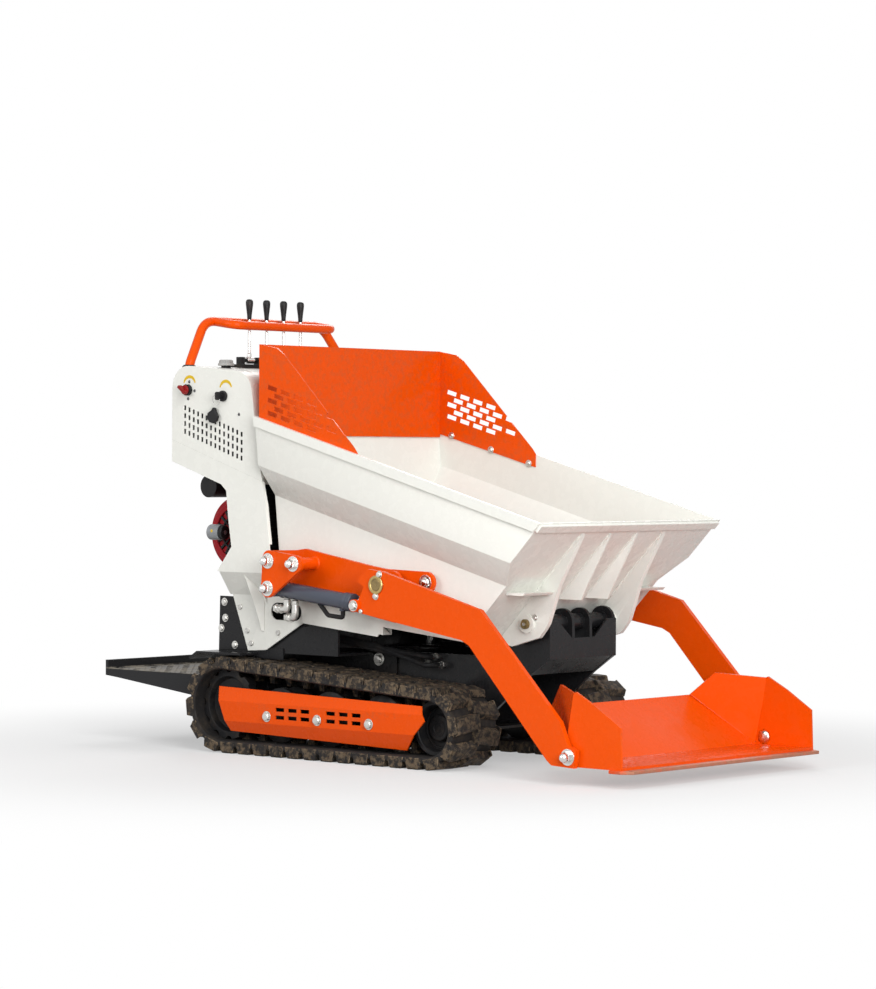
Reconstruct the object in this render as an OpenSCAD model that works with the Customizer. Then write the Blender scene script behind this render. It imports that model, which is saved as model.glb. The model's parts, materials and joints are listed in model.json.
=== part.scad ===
// A stand-on tracked power carrier: two rubber tracks, a tipping skip, a self-loading shovel on two
// lift arms, a console with levers, and a folding platform. Millimetres. X points forward to the
// shovel, Y to the left, Z up, and the tracks stand on Z = 0. The left side is drawn and mirrored.

/* [Tracks] */
// Half the width over both tracks
track_half_w = 425; // [421:1:427]
// Width of one rubber track
belt_w = 205; // [200:1:209]
// Thickness of the track carcass
belt_t = 20; // [18:1:21]
// Height of the tread lugs
lug_h = 20; // [17:1:21]
// Lug pairs round one track
lug_count = 34; // [30:1:36]
// Inner radius of the track round its sprocket
end_r = 112; // [108:1:113]
// Inner radius of the track round its idler
idler_r = 84; // [82:1:86]
// Drive sprocket axle, along the machine
sprocket_x = -528; // [-534:1:-522]
// Idler axle, along the machine
idler_x = 338; // [332:1:342]
// Road wheel radius
road_wheel_r = 86; // [82:0.5:88]
// Spacing of the road wheels
road_wheel_gap = 214; // [208:1:218]

/* [Skip] */
// Skip hinge, along the machine
hinge_x = 550; // [547:1:553]
// Skip hinge height
hinge_z = 438; // [435:1:441]
// Skip hinge pin radius
hinge_r = 15; // [12:0.5:17]
// Height of the rim line at the middle of the machine
rim_z = 959; // [950:1:966]
// Slope of the rim, down to the front, degrees
rim_tilt = 15.3; // [14.5:0.1:16]
// Half the width of the lower box
box_half_w = 366; // [360:1:369]
// How far the upper walls stand out from the lower box
rim_flare = 66; // [63:1:68]
// Thickness of the skip sheet
sheet_t = 5; // [4:0.5:6]
// Height of the upper walls
upper_wall_h = 144; // [134:1:150]
// Height of the sloping band below the upper walls
band_h = 87; // [80:1:94]
// Height of the splash guard's top
guard_z = 1283; // [1270:1:1296]

/* [Loader] */
// Lift arm pivot, along the machine
pivot_x = 198; // [195:1:201]
// Lift arm pivot height
pivot_z = 552; // [549:1:555]
// Lift arm pivot pin radius
pivot_r = 18; // [16:0.5:19]
// From the outer face of a column to the inner face of a lift arm
arm_gap = 76; // [75:0.5:78]
// Thickness of a lift arm
arm_t = 16; // [12:1:18]
// Lift cylinder barrel radius
lift_barrel_r = 25; // [22:0.5:26]
// Lift cylinder rod radius
lift_rod_r = 12; // [10:0.5:13]
// Front edge of the shovel lip
lip_x = 1145; // [1138:1:1152]
// How far the shovel lip stands out at its ends
lip_over = 8; // [6:1:12]
// Thickness of the shovel plates
shovel_t = 8; // [6:0.5:8]

/* [Tower] */
// From the skip's lower box to the outer face of a column
column_gap = 34; // [33:0.5:36]
// Thickness of the column and console sheet
tower_t = 4; // [3:0.5:4]
// Height of the handlebar's middle
bar_z = 1363; // [1358:1:1372]
// Handlebar tube radius
bar_r = 15; // [13:0.5:16]
// Half the width over the handlebar, along the tube's centre
bar_half_w = 234; // [226:1:236]
// Top of the lever knobs
knob_z = 1445; // [1438:1:1452]
// Tip cylinder barrel radius
tip_barrel_r = 32; // [28:0.5:34]
// Tip cylinder rod radius
tip_rod_r = 18; // [15:0.5:20]

/* [Platform] */
// Rear edge of the operator platform
platform_x = -1145; // [-1155:1:-1135]
// Height of the platform's top
platform_z = 235; // [232:1:237]

/* [Hidden] */

$fn = 48;
// Room round a shaft that turns or slides in a bore
fit = 0.05;
// Room between moving faces that pass each other
gap = 1;
black = [0.12, 0.12, 0.13];
cream = [0.92, 0.91, 0.88];
orange = [0.95, 0.38, 0.08];
steel = [0.65, 0.66, 0.68];
dark = [0.25, 0.25, 0.27];

// Tracks
axle_z = lug_h + belt_t + end_r;
idler_z = lug_h + belt_t + idler_r;
run_z = lug_h + belt_t;
belt_y0 = track_half_w - belt_w;
belt_y = track_half_w - belt_w / 2;
tail_mid_r = end_r + belt_t / 2;
nose_mid_r = idler_r + belt_t / 2;
belt_run = idler_x - sprocket_x;
// The lower run is level, and the upper one leans down to the smaller idler, degrees
belt_lean = 2 * atan((end_r - idler_r) / belt_run);
nose_bend = PI * nose_mid_r * (180 - belt_lean) / 180;
tail_bend = PI * tail_mid_r * (180 + belt_lean) / 180;
belt_len = 2 * belt_run + nose_bend + tail_bend;
lug_pitch = belt_len / lug_count;
road_z = run_z + 0.5 + road_wheel_r;
wheel_w = 60;
guide_w = 40;
guide_h = 34;
groove = guide_w / 2 + 6;
axle_r = 20;
end_wheel_r = end_r - 0.6;
idler_wheel_r = idler_r - 0.6;
// From the idler's axle back to the front road wheel's
idler_gap = 225;
road_front_x = idler_x - idler_gap;
road_x = [for (i = [-2:0]) road_front_x + i * road_wheel_gap];
plate_y = 240;
plate_t = 14;
cover_y = track_half_w - 1;
cover_t = 5;
cover_bend = 25;

// Widths that follow the skip's lower box
rim_half_w = box_half_w + rim_flare;
column_y = box_half_w + column_gap;
arm_y = column_y + arm_gap;

// Chassis
frame_y = 160;
frame_t = 12;
frame_z = 100;
deck_z = 318;
deck_t = 8;
flange_y = column_y - 62;
panel_y = flange_y + 7;
platform_half_w = flange_y - 3;
panel_t = 5;
bed_z = 540;
fold_x = -700;
fold_z = platform_z - 15;
fold_r = 12;
beam_y = 124;
tip_base = [70, 135];
tip_pin = tip_base + [310, 195];
tip_axis_angle = atan2(195, 310);
tip_len = norm(tip_pin - tip_base);
tip_pin_r = 12;

// Skip
front_tan = 1.023;
front_angle = atan(front_tan);
lip_top = [775, 736];
function front_x(z) = lip_top[0] + (z - lip_top[1]) / front_tan;
function floor_z(x) = 418 - 0.1 * (x - 112);
function rear_x(z) = -370 + (1060 - z) * 0.105;
chamfer_z = 590;
floor_x0 = -226;
floor_x1 = 432.8;
skip_side = [[floor_x0, floor_z(floor_x0)], [floor_x1, floor_z(floor_x1)], [front_x(1300), 1300],
  [rear_x(1300), 1300], [rear_x(chamfer_z), chamfer_z], [floor_x0, 512]];
hem_w = 8;
hem_h = 30;
cheek_y = 188;
cheek_t = 16;

// Loader
link_pin = [113, 487];
lift_base = [-254, 528];
lift_y = arm_y - 30;
lift_pin_r = 12;
lift_vec = link_pin - lift_base;
lift_len = norm(lift_vec);
lift_angle = atan2(lift_vec[1], lift_vec[0]);
lift_eye_r = 22;
rod_show = 25;
lift_barrel_len = lift_len - lift_eye_r - rod_show;
carrier_y = column_y - tower_t - 12;
carrier_t = 12;
bracket_y = arm_y + 4;
bracket_t = 12;
bolt_a = [-252, 613];
bolt_b = [-146, 606];
lobe = [309, 559];
ear_y = arm_y - 64;
ear_t = 12;
end_bolt = [935, 83];
shovel_y = arm_y - 4 - shovel_t;
shovel_floor_x = 905;
shovel_z = 54;
lip_half_w = arm_y - 4 + lip_over;
edge_t = 10;

// Tower
shell_y = column_y - tower_t;
bar_x = -700;
bar_gap = 50;
bar_tilt = 8;
leg_x = -721;
leg_y = column_y - 28;
leg_foot_z = 1226;
lever_x = -700;
lever_z = 1246;
lever_y = [-120, -40, 40, 120];
valve_top = 1232;
tank_top = 1120;
shaft_r = 6;
filler = [-635, -292];
isolator = [-696, 1145];
ignition = [-538, 1124];

// Points along an arc, angles in degrees
function arc(cx, cz, r, a0, a1, n) =
  [for (i = [0:n]) let (a = a0 + (a1 - a0) * i / n) [cx + r * cos(a), cz + r * sin(a)]];
function unit(v) = v / norm(v);
function inward(a, b) = let (d = unit(b - a)) [-d[1], d[0]];
// A counter-clockwise outline moved inwards by t
function inset(p, t) = let (n = len(p)) [for (i = [0:n - 1])
  let (a = inward(p[(i + n - 1) % n], p[i]), b = inward(p[i], p[(i + 1) % n]))
  p[i] + t * (a + b) / (1 + a * b)];

tower_line = [[-770, 987], [-370, 856]];
console_top = concat(arc(-485, 1133, 70, 10, 85, 8), arc(-700, 1152, 70, 85, 180, 8));
console_outline = concat([[-770, 918], [-549, 846], [-390, 846], [-372, 870]], console_top);
// Top of the console's sloping floor sheet
function shelf_z(x) = 918 + tower_t / cos(18.05) - 0.3258 * (x + 770);

module plate(pts, y0, y1) {
  translate([0, y1, 0])
    rotate([90, 0, 0])
      linear_extrude(y1 - y0)
        polygon(pts);
}

module along_x(pts, x0, x1) {
  translate([x0, 0, 0])
    rotate([90, 0, 90])
      linear_extrude(x1 - x0)
        polygon(pts);
}

module bar_y(p, r, y0, y1) {
  translate([p[0], y1, p[1]])
    rotate([90, 0, 0])
      cylinder(h = y1 - y0, r = r);
}

module hex_y(p, r, y0, y1) {
  translate([p[0], y1, p[1]])
    rotate([90, 0, 0])
      cylinder(h = y1 - y0, r = r, $fn = 6);
}

module block(x0, x1, y0, y1, z0, z1) {
  translate([x0, y0, z0])
    cube([x1 - x0, y1 - y0, z1 - z0]);
}

module rod(a, b, r) {
  v = b - a;
  translate(a)
    rotate([0, acos(v[2] / norm(v)), atan2(v[1], v[0])])
      cylinder(h = norm(v), r = r);
}

module right() {
  mirror([0, 1, 0])
    children();
}

module both() {
  children();
  right()
    children();
}

// Turned shape: outline of radius and distance outwards along Y
module turned(pts) {
  rotate([-90, 0, 0])
    rotate_extrude($fn = 72)
      polygon(pts);
}

// Sheet in a slanting plane: the first three points set the plane
module slant_sheet(p, t) {
  ex = unit(p[1] - p[0]);
  n = unit(cross(p[1] - p[0], p[2] - p[0]));
  ey = cross(n, ex);
  flat = [for (q = p) [(q - p[0]) * ex, (q - p[0]) * ey]];
  multmatrix([[ex[0], ey[0], n[0], p[0][0]], [ex[1], ey[1], n[1], p[0][1]],
    [ex[2], ey[2], n[2], p[0][2]], [0, 0, 0, 1]])
    linear_extrude(t)
      polygon(flat);
}

// A slot with square ends in a sheet of the XZ plane
module slot(x, z, w, h, turn, y0, y1) {
  translate([x, y0, z])
    rotate([0, turn, 0])
      translate([-w / 2, 0, -h / 2])
        cube([w, y1 - y0, h]);
}

// Acorn nut standing on a face at y
module acorn(p, y, r) {
  hex_y(p, r, y, y + 0.8 * r);
  bar_y(p, 0.82 * r, y + 0.8 * r - 1, y + 1.1 * r);
  translate([p[0], y + 1.1 * r, p[1]])
    sphere(r = 0.8 * r);
}

// Thin nut with a short rounded end, for places another plate sweeps over
module low_nut(p, y, r) {
  hex_y(p, r, y, y + 9);
  bar_y(p, 0.75 * r, y + 8, y + 13);
}

module chassis_frame() {
  color(black)
  difference() {
    union() {
      both() {
        frame_side();
        block(-375, -285, frame_y - 2, plate_y, 105, 195);
        block(75, 165, frame_y - 2, plate_y, 105, 195);
        deck_flange();
        track_flap();
        rear_beam();
        engine_bed_side();
        nose_lug();
        plate([[46, frame_z + 2], [94, frame_z + 2], [94, tip_base[1]], [82, tip_base[1] + 22],
          [58, tip_base[1] + 22], [46, tip_base[1]]], 27, 39);
      }
      block(-440, 300, -frame_y + 2, frame_y - 2, frame_z, frame_z + 8);
      block(-448, -440, -frame_y, frame_y, frame_z, deck_z + 4);
      block(-560, -100, -flange_y + 2, flange_y - 2, deck_z, deck_z + deck_t);
      block(-690, -450, -200, 200, bed_z, bed_z + 8);
      block(-300, -292, -290, 290, deck_z + 4, 520);
      nose_plate();
      bar_y([hinge_x, hinge_z], 25, -frame_y + 2, frame_y - 2);
    }
    bar_y([hinge_x, hinge_z], hinge_r + fit, -250, 250);
    bar_y([fold_x, fold_z], fold_r + fit, -200, 200);
    bar_y(tip_base, tip_pin_r + fit, -60, 60);
  }
}

module frame_side() {
  plate(concat([[-440, frame_z], [300, frame_z], [520, 280], [597, 333], [597, hinge_z]],
    arc(hinge_x, hinge_z, 44, 0, 170, 16),
    [[480, 420], [400, 332], [-560, 332], [-560, 262], [-440, 262]]), frame_y - frame_t, frame_y);
}

module deck_flange() {
  plate([[-560, deck_z], [-100, deck_z], [-100, 404], [-128, 412], [-200, 412], [-236, 405],
    [-560, 405]], flange_y - 8, flange_y);
}

// Bent sheet over the rear of a track
module track_flap() {
  plate([[-440, 310.5], [-440, 317], [-634, 317], [-668, 296], [-665, 290], [-632, 310.5]],
    flange_y - 12, flange_y + 84);
  block(-556, -444, flange_y - 10, flange_y - 1, 311, deck_z + 4);
}

module rear_beam() {
  plate(concat([[-445, 195], [-445, 250], [-640, 250]], arc(fold_x, fold_z, 18, 80, 280, 14),
    [[-640, 195]]), beam_y - 28, beam_y);
}

module engine_bed_side() {
  plate([[-560, deck_z + 4], [-455, deck_z + 4], [-455, bed_z + 2], [-560, bed_z + 2]], 120, 132);
  block(-655, -560, 120, 132, bed_z - 30, bed_z + 2);
}

module nose_lug() {
  plate(concat([[594, 335]], arc(hinge_x, hinge_z, 42, 0, 180, 16), [[508, 338], [530, 289]]), 36, 48);
}

module nose_plate() {
  difference() {
    block(589, 597, -frame_y, frame_y, 331, 446);
    along_x([[-125, 450], [125, 450], [54, 392], [-54, 392]], 580, 600);
  }
  plate([[519, 281], [596, 334], [591, 341], [514, 288]], -frame_y + 2, frame_y - 2);
}

module track_frames() {
  color(black)
  both()
    difference() {
      plate([[-590, 100], [-480, 70], [270, 70], [392, 100], [392, 160], [330, 188], [-480, 235],
        [-590, 204]], plate_y, plate_y + plate_t);
      bar_y([sprocket_x, axle_z], 40, plate_y - 5, plate_y + plate_t + 5);
      bar_y([idler_x, idler_z], axle_r + fit, plate_y - 5, plate_y + plate_t + 5);
      for (x = road_x)
        bar_y([x, road_z], axle_r + fit, plate_y - 5, plate_y + plate_t + 5);
      for (x = [-420, 210])
        bar_y([x, axle_z], 34, plate_y - 5, plate_y + plate_t + 5);
    }
}

// Outline round both end wheels, d outside the belt's inner face
module belt_loop(d) {
  tail_r = end_r + d;
  nose_r = idler_r + d;
  translate([sprocket_x, axle_z])
    circle(tail_r, $fn = 72);
  translate([idler_x, idler_z])
    circle(nose_r, $fn = 72);
  polygon([[sprocket_x, axle_z - tail_r], [idler_x, idler_z - nose_r],
    [idler_x + nose_r * sin(belt_lean), idler_z + nose_r * cos(belt_lean)],
    [sprocket_x + tail_r * sin(belt_lean), axle_z + tail_r * cos(belt_lean)]]);
}

// Children stand on the middle line of the belt, outwards along their Z
module at_belt(s) {
  t = s % belt_len;
  turn = t - belt_run;
  back = turn - nose_bend;
  last = back - belt_run;
  if (turn < 0)
    translate([sprocket_x, 0, axle_z])
      rotate([0, belt_lean, 0])
        translate([t, 0, tail_mid_r])
          children();
  else if (back < 0)
    translate([idler_x, 0, idler_z])
      rotate([0, belt_lean + turn / nose_mid_r * 180 / PI, 0])
        translate([0, 0, nose_mid_r])
          children();
  else if (last < 0)
    translate([idler_x - back, 0, idler_z - nose_mid_r])
      rotate([0, 180, 0])
        children();
  else
    translate([sprocket_x, 0, axle_z])
      rotate([0, 180 + last / tail_mid_r * 180 / PI, 0])
        translate([0, 0, tail_mid_r])
          children();
}

module rubber_track() {
  lug_len = 0.47 * lug_pitch;
  half = belt_t / 2;
  color(dark)
  intersection() {
    union() {
      translate([0, track_half_w, 0])
        rotate([90, 0, 0])
          linear_extrude(belt_w)
            difference() {
              belt_loop(belt_t);
              belt_loop(0);
            }
      for (i = [0:lug_count - 1]) {
        at_belt(i * lug_pitch) {
          block(-lug_len / 2, lug_len / 2, belt_y - 8, track_half_w - 3, half - 4, half + lug_h);
          block(-15, 15, belt_y - guide_w / 2, belt_y + guide_w / 2, -half - guide_h, -half + 4);
        }
        at_belt((i + 0.5) * lug_pitch)
          block(-lug_len / 2, lug_len / 2, belt_y0 + 3, belt_y + 8, half - 4, half + lug_h);
      }
    }
    block(-2000, 2000, 0, 2000, 0, 2 * axle_z);
  }
}

module rubber_track_left() {
  rubber_track();
}

module rubber_track_right() {
  right()
    rubber_track();
}

module wheel_axles() {
  color(steel)
  both() {
    for (x = road_x)
      difference() {
        union() {
          bar_y([x, road_z], axle_r, plate_y, cover_y);
          bar_y([x, road_z], 28, plate_y + plate_t, belt_y - wheel_w - gap);
          bar_y([x, road_z], axle_r + 2, belt_y + wheel_w + gap, cover_y);
        }
        bar_y([x, road_z], 7 + fit, cover_y - 30, cover_y + 1);
      }
    bar_y([idler_x, idler_z], axle_r, plate_y, belt_y + 40);
    bar_y([idler_x, idler_z], 30, plate_y + plate_t, belt_y - wheel_w - gap);
  }
}

module travel_motors() {
  color(dark)
  both()
    difference() {
      union() {
        bar_y([sprocket_x, axle_z], 84, plate_y - 16, plate_y);
        bar_y([sprocket_x, axle_z], 62, 132, plate_y - 14);
      }
      bar_y([sprocket_x, axle_z], axle_r + fit, plate_y - 64, plate_y + 1);
    }
}

module track_covers() {
  y1 = cover_y + cover_t;
  color(orange)
  both()
    difference() {
      intersection() {
        along_x([[y1 - cover_bend, 215], [y1, 166], [y1, 104], [y1 - cover_bend, 50],
          [cover_y - cover_bend, 50], [cover_y, 104], [cover_y, 166], [cover_y - cover_bend, 215]],
          -560, 350);
        plate([[-546, 209], [-487, 72], [245, 54], [335, 147], [312, 191]], cover_y - 60, y1 + 5);
      }
      for (x = road_x)
        bar_y([x, road_z], 7 + fit, cover_y - 1, y1 + 1);
      for (m = [0, 1])
        for (i = [-1:1])
          for (j = [0, 1])
            slot((road_x[m] + road_x[m + 1]) / 2 + 53 * i, 126 + 24 * j, 38, 12, 0, cover_y - 1, y1 + 1);
    }
}

module frame_bolts() {
  y1 = cover_y + cover_t;
  color(steel)
  both() {
    for (x = road_x) {
      bar_y([x, road_z], 7, cover_y - 28, y1);
      bar_y([x, road_z], 17, y1, y1 + 3);
      hex_y([x, road_z], 13, y1 + 3, y1 + 11);
    }
    for (p = [[-510, 459], [-478, 385], [-344, 383], [-460, 346]])
      hex_y(p, 11, panel_y + panel_t, panel_y + panel_t + 7);
    for (p = [[-585, 472], [-581, 421], [-598, 388], [-538, 337]])
      hex_y(p, 9, panel_y, panel_y + 6);
  }
}

// Side sheet, sloping sheet and lower panel of a column with their folded edges
module column() {
  y0 = column_y - tower_t;
  front = [[-335, 660], [-352, 784], [-370, 856]];
  color(cream)
  difference() {
    union() {
      plate([[-770, 918], [-549, 846], [-526, 826], [-517, 742], [-502, 650], [-564, 572], [-335, 572],
        [-335, 645], [-352, 784], tower_line[1], tower_line[0]], y0, column_y);
      along_x([[column_y, 575], [column_y, 570], [panel_y + panel_t, 498], [panel_y, 498],
        [panel_y, 503], [y0, 576]], -555, -335);
      plate([[-546, 502], [-476, 322], [-396, 327], [-236, 418], [-236, 502]], panel_y, panel_y + panel_t);
      plate(concat(front, [for (i = [2:-1:0]) front[i] - [tower_t, 0]]), column_y - 12, column_y - 1);
      plate([[-502, 650], [-517, 742], [-526, 826], [-522, 826], [-513, 742], [-498, 650]],
        column_y - 30, column_y - 1);
      along_x([[panel_y + 1, 470], [panel_y + 1, 498], [y0 - 1, 572], [column_y - 6, 572],
        [panel_y + panel_t, 470]], -399, -393);
    }
    slot(-310, 450, 76, 54, 0, panel_y - 2, panel_y + 10);
    for (x = [-348, -272])
      bar_y([x, 450], 27, panel_y - 2, panel_y + 10);
  }
}

module column_left() {
  column();
}

module column_right() {
  right()
    column();
}

module console_shell() {
  color(cream)
  difference() {
    plate(console_outline, -shell_y, shell_y);
    plate(inset(console_outline, tower_t), -shell_y - 1, shell_y + 1);
    for (s = [-1, 1])
      translate([leg_x, s * leg_y, 1170])
        cylinder(h = 80, r = bar_r + 0.3);
    translate([filler[0], filler[1], 1170])
      cylinder(h = 80, r = 16.4);
    block(lever_x - 41, lever_x + 41, -191, 191, 1170, 1240);
  }
}

module console_panels() {
  color(cream)
  both()
    difference() {
      plate(concat(tower_line, [[-372, 870]], console_top), shell_y, column_y);
      for (j = [0:3])
        for (i = [0:13])
          slot(-712 + 19.4 * i, 1088 - 25 * j - 6.5 * i, 10, 15, 0, shell_y - 1, column_y + 1);
    }
}

// Loop of tube; each leg bends over into the rear corner of the loop
module handlebar() {
  reach = bar_half_w - bar_gap;
  corner = bar_gap * sin(45);
  end = [bar_x - corner * cos(bar_tilt), reach + corner, bar_z + corner * sin(bar_tilt)];
  leg = [[leg_x, leg_y, leg_foot_z], end + [-7, 76, -36], end + [-6, 48, -9], end];
  color(orange)
  union() {
    translate([bar_x, 0, bar_z])
      rotate([0, bar_tilt, 0]) {
        for (s = [-1, 1])
          translate([s * bar_gap, -reach, 0])
            rotate([-90, 0, 0])
              cylinder(h = 2 * reach, r = bar_r);
        for (s = [0, 1])
          rotate([0, 0, 180 * s])
            translate([0, reach, 0])
              rotate_extrude(angle = 180)
                translate([bar_gap, 0])
                  circle(bar_r);
      }
    both() {
      for (i = [0:2])
        rod(leg[i], leg[i + 1], bar_r - 0.7);
      for (i = [1, 2])
        translate(leg[i])
          sphere(r = bar_r + 0.4);
      translate([leg_x, leg_y, leg_foot_z - 41])
        cylinder(h = 41, r = bar_r);
      translate([leg_x, leg_y, leg_foot_z])
        sphere(r = bar_r + 0.8);
    }
  }
}

module control_valve() {
  color(dark)
  union() {
    block(lever_x - 40, lever_x + 40, -190, 190, tank_top, valve_top);
    for (y = [-160, -80, 0, 80, 160])
      block(lever_x - 12, lever_x + 12, y - 8, y + 8, valve_top - 2, lever_z + 10);
    bar_y([lever_x, lever_z], shaft_r, -166, 166);
  }
}

module oil_tank() {
  color(dark)
  union() {
    plate([[-745, shelf_z(-745) + 0.3], [-560, shelf_z(-560) + 0.3], [-560, tank_top],
      [-745, tank_top]], -320, 320);
    translate([filler[0], filler[1], tank_top - 2])
      cylinder(h = 1224 - tank_top + 2, r = 16);
  }
}

module filler_cap() {
  color(dark)
  translate([filler[0], filler[1], 1224])
    union() {
      cylinder(h = 8, r = 26);
      translate([0, 0, 7])
        cylinder(h = 12, r = 21);
    }
}

module engine_block() {
  color(steel)
  union() {
    block(-690, -450, -165, 120, bed_z + 8, 700);
    for (i = [0:6])
      block(-680, -460, -155, 110, 698 + 13 * i, 707 + 13 * i);
    block(-650, -490, -125, 80, 698, 790);
    block(-690, -650, -165, -120, 690, 790);
  }
}

module fan_shroud() {
  color([0.6, 0.08, 0.12])
  union() {
    bar_y([-590, 690], 116, -285, -165);
    difference() {
      bar_y([-590, 690], 96, -300, -284);
      bar_y([-590, 690], 78, -301, -292);
    }
    bar_y([-590, 690], 30, -297, -284);
  }
}

module starter_motor() {
  color(steel)
  union() {
    translate([-662, -327, 692])
      rotate([0, 90, 0])
        cylinder(h = 48, r = 25);
    translate([-616, -327, 692])
      rotate([0, 90, 0])
        cylinder(h = 14, r = 15);
    block(-652, -636, -327, -292, 682, 702);
  }
}

module muffler() {
  color(dark)
  union() {
    translate([-700, 215, 720])
      rotate([0, 90, 0])
        cylinder(h = 220, r = 45);
    bar_y([-600, 680], 14, 120, 205);
    translate([-735, 215, 720])
      rotate([0, 90, 0])
        cylinder(h = 40, r = 14);
  }
}

module air_cleaner() {
  color(black)
  union() {
    bar_y([-695, 838], 36, -310, -205);
    block(-700, -668, -215, -130, 792, 816);
    block(-700, -668, -155, -130, 790, 794);
  }
}

module fuel_tank() {
  color(black)
  union() {
    block(-640, -470, -110, 110, 790, 824);
    translate([-590, 60, 822])
      cylinder(h = 10, r = 22);
  }
}

module hydraulic_pump() {
  color(dark)
  union() {
    bar_y([-560, 600], 44, 120, 136);
    bar_y([-560, 600], 34, 134, 235);
    block(-585, -535, 180, 225, 560, 642);
  }
}

module rear_brackets() {
  color(black)
  both()
    plate([[-606, 491], [-611, 318], [-400, 330], [-470, 490]], flange_y, panel_y);
}

// Long plate that carries the loader, with the outer plate on two spacer tubes
module loader_bracket() {
  difference() {
    union() {
      plate(concat([[-400, 588], [-290, 588], [-284, 505], [-225, 498], [-120, 506], [150, 514], [285, 527]],
        arc(lobe[0], lobe[1], 33, -80, 80, 10),
        [[150, 596], [90, 604], [-185, 650], [-220, 645], [-400, 640]]),
        carrier_y, carrier_y + carrier_t);
      plate(concat(arc(-250, 620, 26, 75, 175, 6), arc(lift_base[0], lift_base[1], 28, 180, 310, 8),
        arc(-134, 606, 25, -45, 75, 8)), bracket_y, bracket_y + bracket_t);
      bar_y(bolt_a, 19, carrier_y + 2, bracket_y + 2);
      bar_y(bolt_b, 19, carrier_y + 2, bracket_y + 2);
    }
    bar_y([pivot_x, pivot_z], pivot_r + fit, carrier_y - 1, carrier_y + 20);
    bar_y(lift_base, lift_pin_r + fit, carrier_y - 1, bracket_y + 20);
  }
}

module loader_brackets() {
  color(orange)
  both()
    loader_bracket();
}

module bracket_bolts() {
  y1 = bracket_y + bracket_t;
  color(steel)
  both() {
    acorn(bolt_a, y1, 17);
    acorn(bolt_b, y1, 17);
    bar_y(lift_base, lift_pin_r, carrier_y, y1);
    acorn(lift_base, y1, 17);
    low_nut(lobe, carrier_y + carrier_t, 17);
  }
}

module pivot_pins() {
  color(steel) {
    both() {
      bar_y([pivot_x, pivot_z], pivot_r, carrier_y, arm_y + arm_t + 5);
      bar_y([pivot_x, pivot_z], 30, carrier_y - 8, carrier_y);
    }
    bar_y([fold_x, fold_z], fold_r, -beam_y - 22, beam_y + 22);
    bar_y(tip_base, tip_pin_r, -44, 44);
  }
}

module skip_hinge_pin() {
  color([0.72, 0.6, 0.3])
  bar_y([hinge_x, hinge_z], hinge_r, -224, 224);
}

module switch_bodies() {
  color(black)
  right() {
    difference() {
      bar_y(isolator, 18, column_y, column_y + 12);
      bar_y(isolator, 9 + fit, column_y + 1, column_y + 13);
    }
    difference() {
      bar_y(ignition, 17, column_y, column_y + 10);
      bar_y(ignition, 6 + fit, column_y + 1, column_y + 11);
    }
  }
}

module isolator_key() {
  y0 = column_y + 12;
  color([0.8, 0.1, 0.08])
  right()
    union() {
      bar_y(isolator, 9, column_y + 2, y0 + 2);
      bar_y(isolator, 15, y0 + gap, y0 + 8);
      translate([isolator[0], 0, isolator[1]])
        rotate([0, 35, 0])
          block(-19, 19, y0 + 7, y0 + 22, -6, 6);
    }
}

module ignition_key() {
  y0 = column_y + 10;
  color(black)
  right()
    union() {
      bar_y(ignition, 6, column_y + 2, y0 + 4);
      block(ignition[0] - 3, ignition[0] + 3, y0 + 3, y0 + 30, ignition[1] - 13, ignition[1] + 13);
    }
}

// Two hoses from the deck through the oval hole of each column to the rear of its lift cylinder
module hydraulic_hoses() {
  color(black)
  both()
    for (i = [0, 1]) {
      x = -338 + 48 * i;
      z = 463 - 26 * i;
      path = [[x, flange_y - 26, deck_z + deck_t], [x, flange_y - 26, z], [x + 34, column_y + 4, z],
        [lift_base[0] + 40 + 34 * i, lift_y, z], [lift_base[0] + 40 + 34 * i, lift_y, 496 - 4 * i]];
      union() {
        for (k = [0:3])
          rod(path[k], path[k + 1], 10);
        for (k = [1:3])
          translate(path[k])
            sphere(r = 11);
      }
    }
}

module sprocket() {
  color(dark)
  translate([sprocket_x, belt_y, axle_z])
    difference() {
      turned([[0, -142], [axle_r, -142], [axle_r, -wheel_w], [end_wheel_r, -wheel_w], [end_wheel_r, -groove],
        [64, -groove], [64, groove], [end_wheel_r, groove], [end_wheel_r, wheel_w], [88, wheel_w], [80, 40],
        [52, 40], [48, 56], [0, 58]]);
      for (i = [0:11])
        rotate([0, 30 * i, 0])
          bar_y([end_wheel_r + 3, 0], 13, -wheel_w - 1, wheel_w + 1);
    }
}

module drive_sprocket_left() {
  sprocket();
}

module drive_sprocket_right() {
  right()
    sprocket();
}

module idler() {
  bore = axle_r + fit;
  r = idler_wheel_r;
  color(dark)
  translate([idler_x, belt_y, idler_z])
    turned([[bore, -wheel_w], [r, -wheel_w], [r, -groove], [40, -groove], [40, groove], [r, groove], [r, wheel_w],
      [r - 11, wheel_w], [r - 16, 32], [46, 32], [44, 44], [38, 47], [0, 47], [0, 41], [bore, 41]]);
}

module idler_wheel_left() {
  idler();
}

module idler_wheel_right() {
  right()
    idler();
}

module road_wheel(i) {
  bore = axle_r + fit;
  r = road_wheel_r;
  color(dark)
  translate([road_x[i], belt_y, road_z])
    turned([[bore, -wheel_w], [40, -wheel_w], [42, -wheel_w + 8], [r - 16, -wheel_w + 8], [r, -wheel_w + 14],
      [r, -groove], [40, -groove], [40, groove], [r, groove], [r, wheel_w - 14], [r - 16, wheel_w - 8],
      [42, wheel_w - 8], [40, wheel_w], [bore, wheel_w]]);
}

module road_wheel_left_1() {
  road_wheel(0);
}

module road_wheel_left_2() {
  road_wheel(1);
}

module road_wheel_left_3() {
  road_wheel(2);
}

module road_wheel_right_1() {
  right()
    road_wheel(0);
}

module road_wheel_right_2() {
  right()
    road_wheel(1);
}

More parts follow.
